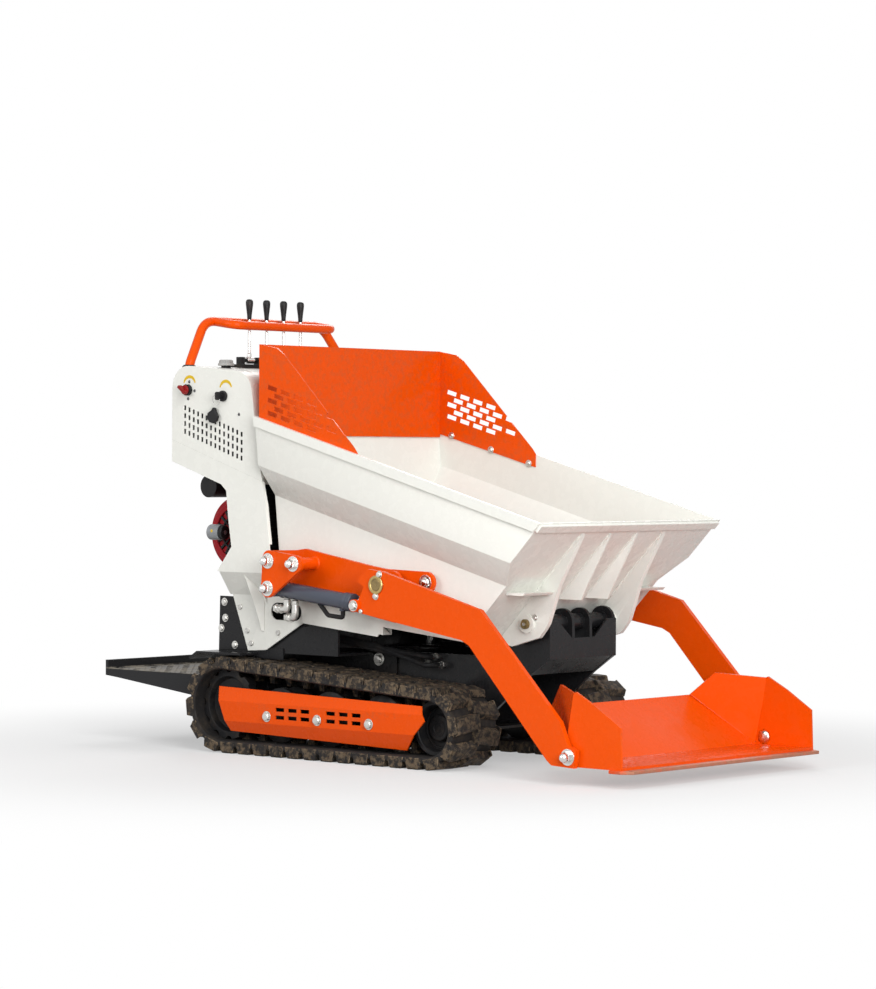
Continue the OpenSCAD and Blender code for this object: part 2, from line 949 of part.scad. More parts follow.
module road_wheel_right_3() {
  right()
    road_wheel(2);
}

module operator_platform() {
  front = fold_x - 24;
  z0 = platform_z - 22;
  color(black)
  difference() {
    union() {
      block(platform_x, front, -platform_half_w, platform_half_w, z0, platform_z);
      block(platform_x, platform_x + 12, -platform_half_w, platform_half_w, z0, platform_z + 28);
      both() {
        plate([[platform_x, z0], [platform_x + 60, z0 - 6], [front, z0 - 48], [front, platform_z - 4],
          [platform_x, platform_z - 4]], platform_half_w - 8, platform_half_w);
        plate(concat([[front - 40, z0], [front - 2, z0]], arc(fold_x, fold_z, 18, -100, 100, 14),
          [[front - 40, platform_z]]), beam_y + gap, beam_y + 16);
      }
    }
    bar_y([fold_x, fold_z], fold_r + fit, -200, 200);
  }
}

// Frame of the rim: X runs along the sloping rim, Z is height above it
module on_rim() {
  translate([0, 0, rim_z])
    rotate([0, rim_tilt, 0])
      children();
}

band_end = -upper_wall_h - band_h;
skip_section = [[rim_half_w, 200], [-rim_half_w, 200], [-rim_half_w, -upper_wall_h], [-box_half_w, band_end],
  [-box_half_w, -800], [box_half_w, -800], [box_half_w, band_end], [rim_half_w, -upper_wall_h]];
hem_out = rim_half_w + hem_w;
skip_section_rim = [[hem_out, 0], [-hem_out, 0], [-hem_out, -hem_h], [-rim_half_w, -hem_h],
  [-rim_half_w, -upper_wall_h], [-box_half_w, band_end], [-box_half_w, -800], [box_half_w, -800],
  [box_half_w, band_end], [rim_half_w, -upper_wall_h], [rim_half_w, -hem_h], [hem_out, -hem_h]];

module skip_shell() {
  difference() {
    intersection() {
      on_rim()
        along_x(skip_section_rim, -700, 1000);
      plate(skip_side, -500, 500);
    }
    intersection() {
      on_rim()
        along_x(inset(skip_section, sheet_t), -700, 1000);
      plate(inset(skip_side, sheet_t), -500, 500);
    }
  }
}

module skip_rib(y0, y1) {
  plate([[front_x(714) - 2, 714], [front_x(508) - 2, 508], [642, 508], [667, 558], [750, 705]], y0, y1);
}

module skip_cheek() {
  plate([[front_x(714) - 2, 714], [floor_x1 + 12, 396], [447, 378], [486, 368], [591, 398], [611, 421],
    [625, 440], [640, 480], [667, 558], [750, 705]], cheek_y, cheek_y + cheek_t);
}

// Lower edge of a side wall, which hangs below the floor and ends in a step
module skip_skirt() {
  plate([[floor_x0, floor_z(floor_x0) + 12], [floor_x0, 418], [88, 388], [112, floor_z(112) - 1],
    [112, floor_z(112) + 12]], box_half_w - sheet_t, box_half_w);
}

// Angle along the front edge of the skip
module skip_lip() {
  d = [cos(front_angle), sin(front_angle)];
  n = [d[1], -d[0]];
  top = [front_x(741), 741];
  plate([top - 2 * n, top + 9 * n, top - 26 * d + 9 * n, top - 26 * d - 2 * n], -rim_half_w, rim_half_w);
}

module skip_tub() {
  lug = [for (x = [tip_pin[0] - 44, tip_pin[0] + 44]) [x, floor_z(x) + 2]];
  color(cream)
  difference() {
    union() {
      skip_shell();
      skip_lip();
      both() {
        skip_skirt();
        skip_rib(60, 68);
        skip_cheek();
        bar_y([hinge_x, hinge_z], 27, frame_y + gap, 216);
        plate([[floor_x0 + 4, floor_z(floor_x0) - 20], [112, floor_z(112) - 24], [112, floor_z(112) + 2],
          [floor_x0 + 4, floor_z(floor_x0) + 2]], box_half_w - 40, box_half_w);
        plate([[front_x(536) - 3, 528], [640, 528], [648, 536], [front_x(536) - 3, 536]],
          cheek_y + 8, box_half_w - 26);
        plate(concat([lug[0]], arc(tip_pin[0], tip_pin[1], 24, 200, 340, 10), [lug[1]]), 27, 39);
      }
    }
    bar_y([hinge_x, hinge_z], hinge_r + fit, -250, 250);
  }
}

module guard_wing() {
  y1 = rim_half_w - sheet_t;
  slope = tan(rim_tilt);
  difference() {
    plate([[-356, guard_z], [-356, 1012], [57, 903], [58, 945], [45, 962], [-250, guard_z - 33],
      [-280, guard_z - 13]], y1 - 4, y1);
    for (j = [0:4])
      for (i = [0:4 - (j + 1) % 2])
        slot(-300 + 56 * i + 28 * (j % 2), 1145 - 20 * j - slope * (56 * i + 28 * (j % 2)), 42, 14, rim_tilt,
          y1 - 6, y1 + 2);
  }
}

module splash_guard() {
  color(orange)
  union() {
    block(-356, -352, -rim_half_w + sheet_t + 1, rim_half_w - sheet_t - 1, 1000, guard_z);
    both()
      guard_wing();
  }
}

module guard_bolts() {
  y0 = rim_half_w - sheet_t - 4;
  color(steel)
  both()
    for (x = [-300, -130, 30])
      bar_y([x, rim_z - tan(rim_tilt) * x - 36], 9, y0 - 6, y0);
}

module arm_side() {
  y1 = arm_y + arm_t;
  difference() {
    union() {
      plate([[132, 577], [119, 561], [147, 545], [126, 506], [94, 487], [94, 472], [533, 400], [562, 386],
        [857, 69], [874, 56], [957, 52], [964, 102], [933, 118], [906, 181], [605, 490], [218, 593],
        [163, 598]], arm_y, y1);
      plate(concat(arc(pivot_x, pivot_z, 40, -20, 160, 12), [[98, 505], [92, 470], [145, 460], [275, 441]]),
        ear_y, ear_y + ear_t);
      plate([[160, 460], [272, 441], [274, 453], [162, 472]], ear_y + 2, y1 - 2);
      bar_y(link_pin, 19, y1 - 2, y1 + 9);
    }
    bar_y([pivot_x, pivot_z], pivot_r + fit, ear_y - 2, y1 + 20);
    bar_y(end_bolt, 12 + fit, arm_y - 2, y1 + 2);
  }
}

module loader_arms() {
  color(orange)
  both()
    arm_side();
}

// Scoop: floor, sloping back and, between back and sides, slanting corner sheets with raised ears
module shovel() {
  y1 = shovel_y + shovel_t;
  low_y = y1 - 12;
  top_y = y1 - 143;
  back_top = [752, 210];
  corner = [[945, y1 - 6, 264], [904, low_y, shovel_z + 6], [back_top[0], top_y, back_top[1]],
    [817, y1 - 102, 278]];
  back = [[shovel_floor_x + 6, low_y, shovel_z + 8], [shovel_floor_x + 6, -low_y, shovel_z + 8],
    [back_top[0], -top_y, back_top[1]], [back_top[0], top_y, back_top[1]]];
  color(orange)
  difference() {
    union() {
      block(shovel_floor_x - 8, 1112, -y1, y1, shovel_z, shovel_z + shovel_t);
      slant_sheet(back, shovel_t);
      both() {
        plate([[1112, shovel_z], [1108, 174], [1018, 231], [948, 268], [939, 264],
          [shovel_floor_x - 4, shovel_z]], shovel_y, y1);
        slant_sheet(corner, shovel_t);
      }
    }
    both()
      bar_y(end_bolt, 12 + fit, shovel_y - 20, y1 + 5);
  }
}

module cutting_edge() {
  color(steel)
  translate([0, 0, shovel_z - edge_t])
    linear_extrude(edge_t)
      polygon([[1070, -lip_half_w + 2], [1112, -lip_half_w], [lip_x, -lip_half_w + 24],
        [lip_x, lip_half_w - 24], [1112, lip_half_w], [1070, lip_half_w - 2]]);
}

module shovel_bolts() {
  y0 = shovel_y + shovel_t;
  y1 = arm_y + arm_t;
  color(steel)
  both() {
    bar_y(end_bolt, 12, shovel_y, y1);
    bar_y(end_bolt, 24, y0, arm_y);
    acorn(end_bolt, y1, 17);
    bar_y(end_bolt, 20, shovel_y - 6, shovel_y);
    for (p = [[985, 110], [1050, 92]])
      bar_y(p, 12, shovel_y - 8, shovel_y);
  }
}

// Lift cylinder parts lie along X from the rear pin, then turn into place
module at_lift() {
  translate([lift_base[0], lift_y, lift_base[1]])
    rotate([0, -lift_angle, 0])
      children();
}

module lift_barrel() {
  color([0.28, 0.3, 0.35])
  at_lift()
    difference() {
      union() {
        rotate([0, 90, 0])
          translate([0, 0, 18])
            cylinder(h = lift_barrel_len - 18, r = lift_barrel_r);
        bar_y([0, 0], 26, -20, 20);
        rotate([0, 90, 0])
          translate([0, 0, lift_barrel_len - 30])
            cylinder(h = 30, r = lift_barrel_r + 2);
      }
      bar_y([0, 0], lift_pin_r + fit, -30, 30);
      rotate([0, 90, 0])
        translate([0, 0, 44])
          cylinder(h = lift_barrel_len, r = lift_rod_r + fit);
    }
}

module lift_rod() {
  color(steel)
  at_lift()
    union() {
      rotate([0, 90, 0])
        translate([0, 0, 60])
          cylinder(h = lift_len - 70, r = lift_rod_r);
      bar_y([lift_len, 0], lift_eye_r, -20, 20);
    }
}

module lift_barrel_left() {
  lift_barrel();
}

module lift_barrel_right() {
  right()
    lift_barrel();
}

module lift_rod_left() {
  lift_rod();
}

module lift_rod_right() {
  right()
    lift_rod();
}

module at_tip() {
  translate([tip_base[0], 0, tip_base[1]])
    rotate([0, -tip_axis_angle, 0])
      children();
}

module tip_barrel() {
  color([0.28, 0.3, 0.35])
  at_tip()
    difference() {
      union() {
        rotate([0, 90, 0])
          translate([0, 0, 40])
            cylinder(h = 260, r = tip_barrel_r);
        rotate([0, 90, 0])
          translate([0, 0, 10])
            cylinder(h = 32, r = 20);
        bar_y([0, 0], 22, -25, 25);
      }
      bar_y([0, 0], tip_pin_r + fit, -40, 40);
      rotate([0, 90, 0])
        translate([0, 0, 44])
          cylinder(h = 300, r = tip_rod_r + fit);
    }
}

module tip_rod() {
  color(steel)
  at_tip()
    union() {
      rotate([0, 90, 0])
        translate([0, 0, 58])
          cylinder(h = tip_len - 68, r = tip_rod_r);
      bar_y([tip_len, 0], 22, -22, 22);
    }
}

// Lever with a bored hub on the valve's cross shaft and a tapered knob
module lever(i) {
  color(steel)
  translate([lever_x, lever_y[i], lever_z])
    difference() {
      union() {
        bar_y([0, 0], 11, -16, 16);
        cylinder(h = knob_z - lever_z - 60, r = 5);
        translate([0, 0, knob_z - lever_z - 73])
          rotate_extrude()
            polygon([[0, 0], [8, 0], [9, 12], [15, 52], [16, 62], [13, 70], [6, 73], [0, 73]]);
      }
      bar_y([0, 0], shaft_r + fit, -20, 20);
    }
}

module control_lever_1() {
  lever(0);
}

module control_lever_2() {
  lever(1);
}

module control_lever_3() {
  lever(2);
}

module control_lever_4() {
  lever(3);
}

chassis_frame();
track_frames();
rubber_track_right();
rubber_track_left();
wheel_axles();
travel_motors();
track_covers();
frame_bolts();
column_right();
column_left();
console_shell();
console_panels();
handlebar();
control_valve();
oil_tank();
filler_cap();
engine_block();
fan_shroud();
starter_motor();
muffler();
air_cleaner();
fuel_tank();
hydraulic_pump();
rear_brackets();
loader_brackets();
bracket_bolts();
pivot_pins();
skip_hinge_pin();
switch_bodies();
hydraulic_hoses();
drive_sprocket_right();
drive_sprocket_left();
idler_wheel_right();
idler_wheel_left();
road_wheel_right_1();
road_wheel_right_2();
road_wheel_right_3();
road_wheel_left_1();
road_wheel_left_2();
road_wheel_left_3();
operator_platform();
skip_tub();
splash_guard();
guard_bolts();
loader_arms();
shovel();
cutting_edge();
shovel_bolts();
lift_barrel_right();
lift_barrel_left();
lift_rod_right();
lift_rod_left();
tip_barrel();
tip_rod();
control_lever_1();
control_lever_2();
control_lever_3();
control_lever_4();
isolator_key();
ignition_key();
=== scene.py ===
"""Looks of a tracked power carrier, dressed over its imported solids.

Shapes are written in millimetres, as in the part's source, and turned into metres when a piece is made.
X points forward to the shovel, Y to the left, Z up. The camera looks at the right side and the front.
"""
import json
import math

import bmesh
import bpy
from mathutils import Matrix, Vector


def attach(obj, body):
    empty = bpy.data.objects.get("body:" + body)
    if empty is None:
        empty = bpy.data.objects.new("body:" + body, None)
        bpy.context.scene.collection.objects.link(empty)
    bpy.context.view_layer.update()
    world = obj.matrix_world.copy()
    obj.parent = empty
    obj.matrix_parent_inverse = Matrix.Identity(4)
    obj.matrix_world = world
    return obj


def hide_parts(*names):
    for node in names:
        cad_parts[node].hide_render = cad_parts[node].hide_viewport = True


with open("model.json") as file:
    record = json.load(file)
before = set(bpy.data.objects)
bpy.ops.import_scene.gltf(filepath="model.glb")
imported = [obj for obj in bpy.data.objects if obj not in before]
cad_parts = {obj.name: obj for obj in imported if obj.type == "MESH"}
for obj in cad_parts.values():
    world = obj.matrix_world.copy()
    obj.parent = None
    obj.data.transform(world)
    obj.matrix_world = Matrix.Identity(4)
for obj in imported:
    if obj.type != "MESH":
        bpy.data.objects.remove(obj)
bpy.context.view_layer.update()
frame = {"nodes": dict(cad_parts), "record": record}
scene = bpy.context.scene
scene.view_settings.view_transform = "Standard"

MM = 0.001
SLOT_OF = {part["node"]: part["material_slot"] for part in frame["record"]["subparts"]}
BODY_OF = {node: body for body, nodes in frame["record"]["behaviour"]["bodies"].items() for node in nodes}
SIDES = (-1, 1)
SIDE_WORD = {-1: "right", 1: "left"}
UP = Vector((0.0, 0.0, 1.0))
FULL_TURN = 2.0 * math.pi

# Colours, linear
ORANGE = (0.74, 0.074, 0.001)
CREAM = (0.76, 0.762, 0.715)
BLACK = (0.012, 0.012, 0.013)
SLATE = (0.058, 0.067, 0.092)
RED = (0.33, 0.008, 0.014)
DUST = (0.36, 0.26, 0.16)
PALE_DUST = (0.30, 0.27, 0.22)
STAIN = (0.05, 0.04, 0.03)
YELLOW = (0.66, 0.44, 0.02)
WHITE = (1.0, 1.0, 1.0, 1.0)

# Sizes shared with the part's source
AXLE_Z = 152.0
SPROCKET_X = -528.0
IDLER_X, IDLER_Z = 338.0, 124.0
BELT_Y = 322.5
BELT_Y0, BELT_Y1 = 220.0, 425.0
BELT_HALF_T = 10.0
TAIL_R, NOSE_R = 122.0, 94.0
LUG_H = 20.0
LUG_COUNT = 34
ROAD_Z = 126.5
ROAD_X = (-315.0, -101.0, 113.0)
RIM_SLOPE = math.tan(math.radians(15.3))

# Places as (X, Z), and how far from the middle the faces that carry them stand
BRACKET_NUTS = ((-252.0, 613.0), (-146.0, 606.0))
LIFT_BASE = (-254.0, 528.0)
LINK = (113.0, 487.0)
PIVOT = (198.0, 552.0)
LOBE_NUT = (309.0, 559.0)
HINGE = (550.0, 438.0)
SHOVEL_PIN = (935.0, 83.0)
ISOLATOR = (-696.0, 1145.0)
IGNITION = (-538.0, 1124.0)
COLUMN_Y = 400.0
ARM_FACE_Y = 492.0
INNER_PLATE_Y = 396.0
LIFT_Y = 446.0
COVER_Y = 429.0
PANEL_Y = 350.0
REAR_BRACKET_Y = 345.0
GUARD_Y = 423.0
FRAME_Y = 160.0


# Camera at the photograph's place

PHOTO_HEIGHT = 989.0
FOCAL_PX = 3299.28
SENSOR = 36.0


def make_camera():
    data = bpy.data.cameras.new("photo_camera")
    data.sensor_width = SENSOR
    data.lens = FOCAL_PX * SENSOR / PHOTO_HEIGHT
    data.clip_end = 200.0
    camera = bpy.data.objects.new("photo_camera", data)
    turn, down, roll = math.radians(41.114), math.radians(0.6687), math.radians(0.2457)
    ahead = Vector((-math.sin(turn) * math.cos(down), math.cos(turn) * math.cos(down), -math.sin(down)))
    right = Vector((math.cos(turn), math.sin(turn), 0.0))
    up = right.cross(ahead)
    tilted_right = right * math.cos(roll) + up * math.sin(roll)
    tilted_up = up * math.cos(roll) - right * math.sin(roll)
    place = Matrix((tilted_right, tilted_up, -ahead)).transposed().to_4x4()
    place.translation = (6.81549, -7.79548, 0.93803)
    camera.matrix_world = place
    scene.collection.objects.link(camera)
    scene.camera = camera


make_camera()


# Materials

class Shader:
    """One material's nodes, with short calls for what it is made of."""

    def __init__(self, name):
        self.material = bpy.data.materials.new(name)
        self.material.use_nodes = True
        self.tree = self.material.node_tree
        self.surface = self.tree.nodes["Principled BSDF"]
        self.coords = self.tree.nodes.new("ShaderNodeTexCoord")

    def feed(self, socket, value):
        if isinstance(value, bpy.types.NodeSocket):
            self.tree.links.new(value, socket)
        elif isinstance(value, tuple) and socket.type == "RGBA":
            socket.default_value = (*value, 1.0)
        else:
            socket.default_value = value

    def noise(self, scale, detail=3.0, roughness=0.55):
        node = self.tree.nodes.new("ShaderNodeTexNoise")
        self.feed(node.inputs["Vector"], self.coords.outputs["Object"])
        self.feed(node.inputs["Scale"], scale)
        self.feed(node.inputs["Detail"], detail)
        self.feed(node.inputs["Roughness"], roughness)
        return node.outputs["Fac"]

    def span(self, value, low, high, to_low=0.0, to_high=1.0):
        node = self.tree.nodes.new("ShaderNodeMapRange")
        node.interpolation_type = "SMOOTHSTEP"
        self.feed(node.inputs["Value"], value)
        self.feed(node.inputs["From Min"], low)
        self.feed(node.inputs["From Max"], high)
        self.feed(node.inputs["To Min"], to_low)
        self.feed(node.inputs["To Max"], to_high)
        return node.outputs["Result"]

    def calc(self, operation, first, second):
        node = self.tree.nodes.new("ShaderNodeMath")
        node.operation = operation
        self.feed(node.inputs[0], first)
        self.feed(node.inputs[1], second)
        return node.outputs[0]

    def mix(self, amount, first, second):
        """Mixes two colours, whose sockets are 6 and 7 in and 2 out."""
        node = self.tree.nodes.new("ShaderNodeMix")
        node.data_type = "RGBA"
        self.feed(node.inputs[0], amount)
        self.feed(node.inputs[6], first)
        self.feed(node.inputs[7], second)
        return node.outputs[2]

    def bump(self, height, strength, distance, under=None):
        node = self.tree.nodes.new("ShaderNodeBump")
        self.feed(node.inputs["Strength"], strength)
        self.feed(node.inputs["Distance"], distance)
        self.feed(node.inputs["Height"], height)
        if under is not None:
            self.feed(node.inputs["Normal"], under)
        return node.outputs["Normal"]

    def axis(self, index):
        node = self.tree.nodes.new("ShaderNodeSeparateXYZ")
        self.feed(node.inputs[0], self.coords.outputs["Object"])
        return node.outputs[index]

    def edge(self):
        node = self.tree.nodes.new("ShaderNodeNewGeometry")
        return node.outputs["Pointiness"]

    def set(self, **values):
        for name, value in values.items():
            self.feed(self.surface.inputs[name.replace("_", " ")], value)
        return self.material


def shade(colour, factor):
    return tuple(min(1.0, part * factor) for part in colour)


SHINE = 0.18
CAST_SHINE = 0.2


def paint(name, colour, gloss, dust, chips=0.0, under=None, low=0.45, shine=SHINE):
    """Sprayed sheet metal: slight colour drift, orange peel, soft waves, dust low down, chipped edges."""
    s = Shader(name)
    base = s.mix(s.noise(2.2, 3.0), shade(colour, 0.98), shade(colour, 1.015))
    grime = s.span(s.noise(7.5, 6.0, 0.68), 0.50, 0.80)
    grime = s.calc("MULTIPLY", grime, s.span(s.axis(2), 0.04, low, 1.0, 0.04))
    base = s.mix(s.calc("MULTIPLY", grime, dust), base, DUST)
    if chips:
        worn = s.calc("MULTIPLY", s.span(s.edge(), 0.53, 0.62), s.span(s.noise(48.0, 5.0, 0.7), 0.46, 0.62))
        base = s.mix(s.calc("MULTIPLY", worn, chips), base, under)
    rough = s.calc("ADD", s.span(s.noise(30.0, 4.0), 0.3, 0.7, gloss - 0.04, gloss + 0.05),
                   s.calc("MULTIPLY", grime, 0.3))
    normal = s.bump(s.noise(4.0, 2.0), 0.015, 0.004)
    normal = s.bump(s.noise(420.0, 2.0), 0.04, 0.0004, normal)
    return s.set(Base_Color=base, Roughness=rough, Normal=normal, Specular_IOR_Level=shine)


def rubber(name, colour, dusty, tread, speck=21.0):
    """Moulded rubber: matt, grainy, with dust that stays on edges and in the tread."""
    s = Shader(name)
    base = s.mix(s.noise(16.0, 5.0), shade(colour, 0.65), shade(colour, 1.6))
    film = s.span(s.noise(speck, 7.0, 0.7), 0.44, 0.70)
    base = s.mix(s.calc("MULTIPLY", film, dusty), base, DUST)
    if tread:
        rims = s.calc("MULTIPLY", s.span(s.edge(), 0.53, 0.60), s.span(s.noise(60.0, 5.0, 0.7), 0.44, 0.60))
        base = s.mix(s.calc("MULTIPLY", rims, 0.65), base, shade(DUST, 0.75))
    rough = s.span(s.noise(40.0, 4.0), 0.3, 0.7, 0.55, 0.85)
    normal = s.bump(s.noise(55.0, 6.0, 0.7), 0.35, 0.0022)
    normal = s.bump(s.noise(600.0, 2.0), 0.15, 0.0005, normal)
    return s.set(Base_Color=base, Roughness=rough, Normal=normal, Specular_IOR_Level=SHINE)


def metal(name, colour, gloss, stain):
    """Bare or plated metal with fine grain, smudges and stains."""
    s = Shader(name)
    marks = s.span(s.noise(38.0, 6.0, 0.68), 0.48, 0.70)
    base = s.mix(s.noise(12.0, 3.0), shade(colour, 0.85), shade(colour, 1.08))
    base = s.mix(s.calc("MULTIPLY", marks, stain), base, STAIN)
    rough = s.calc("ADD", s.span(s.noise(90.0, 4.0, 0.6), 0.3, 0.7, gloss - 0.06, gloss + 0.10),
                   s.calc("MULTIPLY", marks, 0.20))
    normal = s.bump(s.noise(420.0, 3.0, 0.6), 0.10, 0.0004)
    return s.set(Base_Color=base, Metallic=1.0, Roughness=rough, Normal=normal)


def cast(name, colour, gloss, metallic, dust):
    """Cast or moulded surface with a sandy grain and some dust."""
    s = Shader(name)
    base = s.mix(s.noise(14.0, 4.0), shade(colour, 0.75), shade(colour, 1.25))
    grime = s.span(s.noise(18.0, 6.0, 0.7), 0.48, 0.74)
    base = s.mix(s.calc("MULTIPLY", grime, dust), base, shade(DUST, 0.7))
    rough = s.span(s.noise(60.0, 4.0), 0.3, 0.7, gloss - 0.10, gloss + 0.12)
    normal = s.bump(s.noise(260.0, 4.0, 0.65), 0.22, 0.0008)
    return s.set(Base_Color=base, Metallic=metallic, Roughness=rough, Normal=normal,
                 Specular_IOR_Level=CAST_SHINE)


def platform_paint():
    """Black plate whose upper face carries pale dry dust from boots."""
    s = Shader("platform_paint")
    base = s.mix(s.noise(5.0, 4.0), shade(BLACK, 0.8), shade(BLACK, 1.5))
    height = s.axis(2)
    upper = s.calc("MULTIPLY", s.span(height, 0.2335, 0.2348), s.span(height, 0.2375, 0.2400, 1.0, 0.0))
    mud = s.span(s.noise(24.0, 8.0, 0.72), 0.36, 0.62)
    mud = s.calc("MULTIPLY", mud, upper)
    base = s.mix(s.calc("MULTIPLY", mud, 0.70), base, PALE_DUST)
    rough = s.calc("ADD", s.calc("MULTIPLY", mud, 0.35), 0.45)
    normal = s.bump(s.noise(110.0, 5.0, 0.7), 0.25, 0.001)
    return s.set(Base_Color=base, Roughness=rough, Normal=normal, Specular_IOR_Level=CAST_SHINE)


def lip_steel():
    """Shovel edge: orange paint rubbed down to brown steel along the front."""
    s = Shader("lip_steel")
    rub = s.calc("ADD", s.span(s.axis(0), 1.075, 1.140, 0.0, 0.42), s.noise(22.0, 6.0, 0.7))
    bare = s.span(rub, 0.60, 0.98)
    steel = s.mix(s.noise(60.0, 5.0, 0.7), (0.26, 0.085, 0.045), (0.46, 0.20, 0.12))
    base = s.mix(bare, shade(ORANGE, 0.85), steel)
    rough = s.span(bare, 0.0, 1.0, 0.38, 0.52)
    normal = s.bump(s.noise(140.0, 5.0, 0.7), 0.25, 0.0008)
    return s.set(Base_Color=base, Metallic=0.15, Roughness=rough, Normal=normal)


TRACK_BLACK = (0.013, 0.012, 0.012)
LOOKS = {
    "chassis_black": paint("chassis_black", BLACK, 0.28, 0.10, 0.15, (0.05, 0.045, 0.04), 0.40),
    "cream_paint": paint("cream_paint", CREAM, 0.26, 0.03),
    "orange_paint": paint("orange_paint", ORANGE, 0.26, 0.05, 0.25, (0.34, 0.10, 0.04), 0.30, 0.12),
    "track_rubber": rubber("track_rubber", TRACK_BLACK, 0.07, True),
    "hose_rubber": rubber("hose_rubber", (0.012, 0.012, 0.013), 0.04, False),
    "zinc_steel": metal("zinc_steel", (0.62, 0.61, 0.58), 0.30, 0.3),
    "chrome": metal("chrome", (0.74, 0.73, 0.71), 0.16, 0.18),
    "brass": metal("brass", (0.50, 0.37, 0.15), 0.26, 0.4),
    "dark_iron": cast("dark_iron", (0.010, 0.010, 0.011), 0.48, 0.0, 0.08),
    "engine_aluminium": cast("engine_aluminium", (0.26, 0.27, 0.28), 0.42, 0.6, 0.2),
    "shroud_red": paint("shroud_red", RED, 0.35, 0.05),
    "black_plastic": cast("black_plastic", (0.013, 0.013, 0.014), 0.40, 0.0, 0.04),
    "barrel_grey": paint("barrel_grey", SLATE, 0.22, 0.03, shine=0.3),
    "worn_steel": lip_steel(),
    "key_red": cast("key_red", (0.24, 0.008, 0.009), 0.35, 0.0, 0.03),
}
PLATFORM = platform_paint()
LUG_RUBBER = rubber("lug_rubber", TRACK_BLACK, 0.15, True, 75.0)
DECAL = paint("arc_yellow", YELLOW, 0.40, 0.0)
DARK_BOLT = metal("dark_bolt", (0.10, 0.10, 0.105), 0.38, 0.3)
DARK_ENGINE = cast("dark_engine", (0.020, 0.020, 0.022), 0.45, 0.2, 0.12)
PIN_BRASS = metal("pin_brass", (0.30, 0.22, 0.10), 0.20, 0.5)
CAP_GREY = cast("cap_grey", (0.34, 0.34, 0.33), 0.45, 0.0, 0.05)
OTHER_LOOK = {"operator_platform": PLATFORM, "engine_block": DARK_ENGINE, "pivot_pins": PIN_BRASS,
              "skip_hinge_pin": PIN_BRASS}


# Mesh helpers

BEVEL_ANGLE = math.radians(32.0)
MERGE = 0.00002                 # metres
FLAT_ANGLE = math.radians(0.8)
ON_AXIS = 0.001


def new_piece(name, shape, body, slot, material=None, bevel=0.0, stands_for=(), unit=MM, sharp=35.0):
    """Turns a bmesh into a piece that rides on a body."""
    if unit != 1.0:
        bmesh.ops.recalc_face_normals(shape, faces=shape.faces)
        bmesh.ops.scale(shape, vec=(unit, unit, unit), verts=shape.verts)
    mesh = bpy.data.meshes.new(name)
    shape.to_mesh(mesh)
    shape.free()
    mesh.polygons.foreach_set("use_smooth", [True] * len(mesh.polygons))
    mesh.set_sharp_from_angle(angle=math.radians(sharp))
    mesh.materials.append(material or LOOKS[slot])
    piece = bpy.data.objects.new(name, mesh)
    scene.collection.objects.link(piece)
    if bevel:
        rounding = piece.modifiers.new("rounded_edges", "BEVEL")
        rounding.width = bevel * MM
        rounding.segments = 2
        rounding.limit_method = "ANGLE"
        rounding.angle_limit = BEVEL_ANGLE
        rounding.harden_normals = True
    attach(piece, body)
    if stands_for:
        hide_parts(*stands_for)


def dress(node, bevel, material=None):
    """The node's own shape with rounded edges and a better surface."""
    shape = bmesh.new()
    shape.from_mesh(frame["nodes"][node].data)
    bmesh.ops.remove_doubles(shape, verts=shape.verts, dist=MERGE)
    bmesh.ops.dissolve_limit(shape, angle_limit=FLAT_ANGLE, verts=shape.verts, edges=shape.edges)
    new_piece(node + "_dressed", shape, BODY_OF[node], SLOT_OF[node], material, bevel, (node,), unit=1.0)


def facing(x, y, z, side):
    """Frame on an outer face: its Z points out, its Y up."""
    out = Vector((0.0, side, 0.0))
    place = Matrix((UP.cross(out), UP, out)).transposed().to_4x4()
    place.translation = (x, y, z)
    return place


def along(start, end):
    """Frame at start whose Z points to end."""
    start, end = Vector(start), Vector(end)
    place = (end - start).to_track_quat("Z", "Y").to_matrix().to_4x4()
    place.translation = start
    return place


def lathe(shape, profile, place, segments=40):
    """Adds a turned solid from (radius, height) points. A radius near 0 is one point on the axis."""
    rings = []
    for radius, height in profile:
        if radius < ON_AXIS:
            rings.append([shape.verts.new(place @ Vector((0.0, 0.0, height)))])
            continue
        ring = []
        for k in range(segments):
            angle = FULL_TURN * (k + 0.5) / segments
            point = Vector((radius * math.cos(angle), radius * math.sin(angle), height))
            ring.append(shape.verts.new(place @ point))
        rings.append(ring)
    for low, high in zip(rings, rings[1:]):
        for k in range(segments):
            after = k + 1
            corners = [low[k % len(low)], low[after % len(low)], high[after % len(high)], high[k % len(high)]]
            corners = list(dict.fromkeys(corners))
            if len(corners) > 2:
                shape.faces.new(corners)


def prism(shape, outline, low, high, place):
    """Adds a straight solid over an outline in the frame's XY plane."""
    bottom = [shape.verts.new(place @ Vector((x, y, low))) for x, y in outline]
    top = [shape.verts.new(place @ Vector((x, y, high))) for x, y in outline]
    shape.faces.new(bottom[::-1])
    shape.faces.new(top)
    for k in range(len(outline)):
        after = (k + 1) % len(outline)
        shape.faces.new((bottom[k], bottom[after], top[after], top[k]))


def wedge(shape, base, top, place):
    """Adds a six-sided solid between two sets of four corners."""
    low = [shape.verts.new(place @ Vector(corner)) for corner in base]
    high = [shape.verts.new(place @ Vector(corner)) for corner in top]
    shape.faces.new(low[::-1])
    shape.faces.new(high)
    for k in range(4):
        after = (k + 1) % 4
        shape.faces.new((low[k], low[after], high[after], high[k]))


def corners_at(half, y0, y1, z):
    """Four corners of an oblong at height z, from -half to half along X."""
    return [(-half, y0, z), (half, y0, z), (half, y1, z), (-half, y1, z)]


def side_plate(shape, outline, y, thick, side):
    """Adds a plate on one side of the machine from an outline of (X, Z) points."""
    prism(shape, [(x * -side, z) for x, z in outline], 0.0, thick, facing(0.0, y * side, 0.0, side))


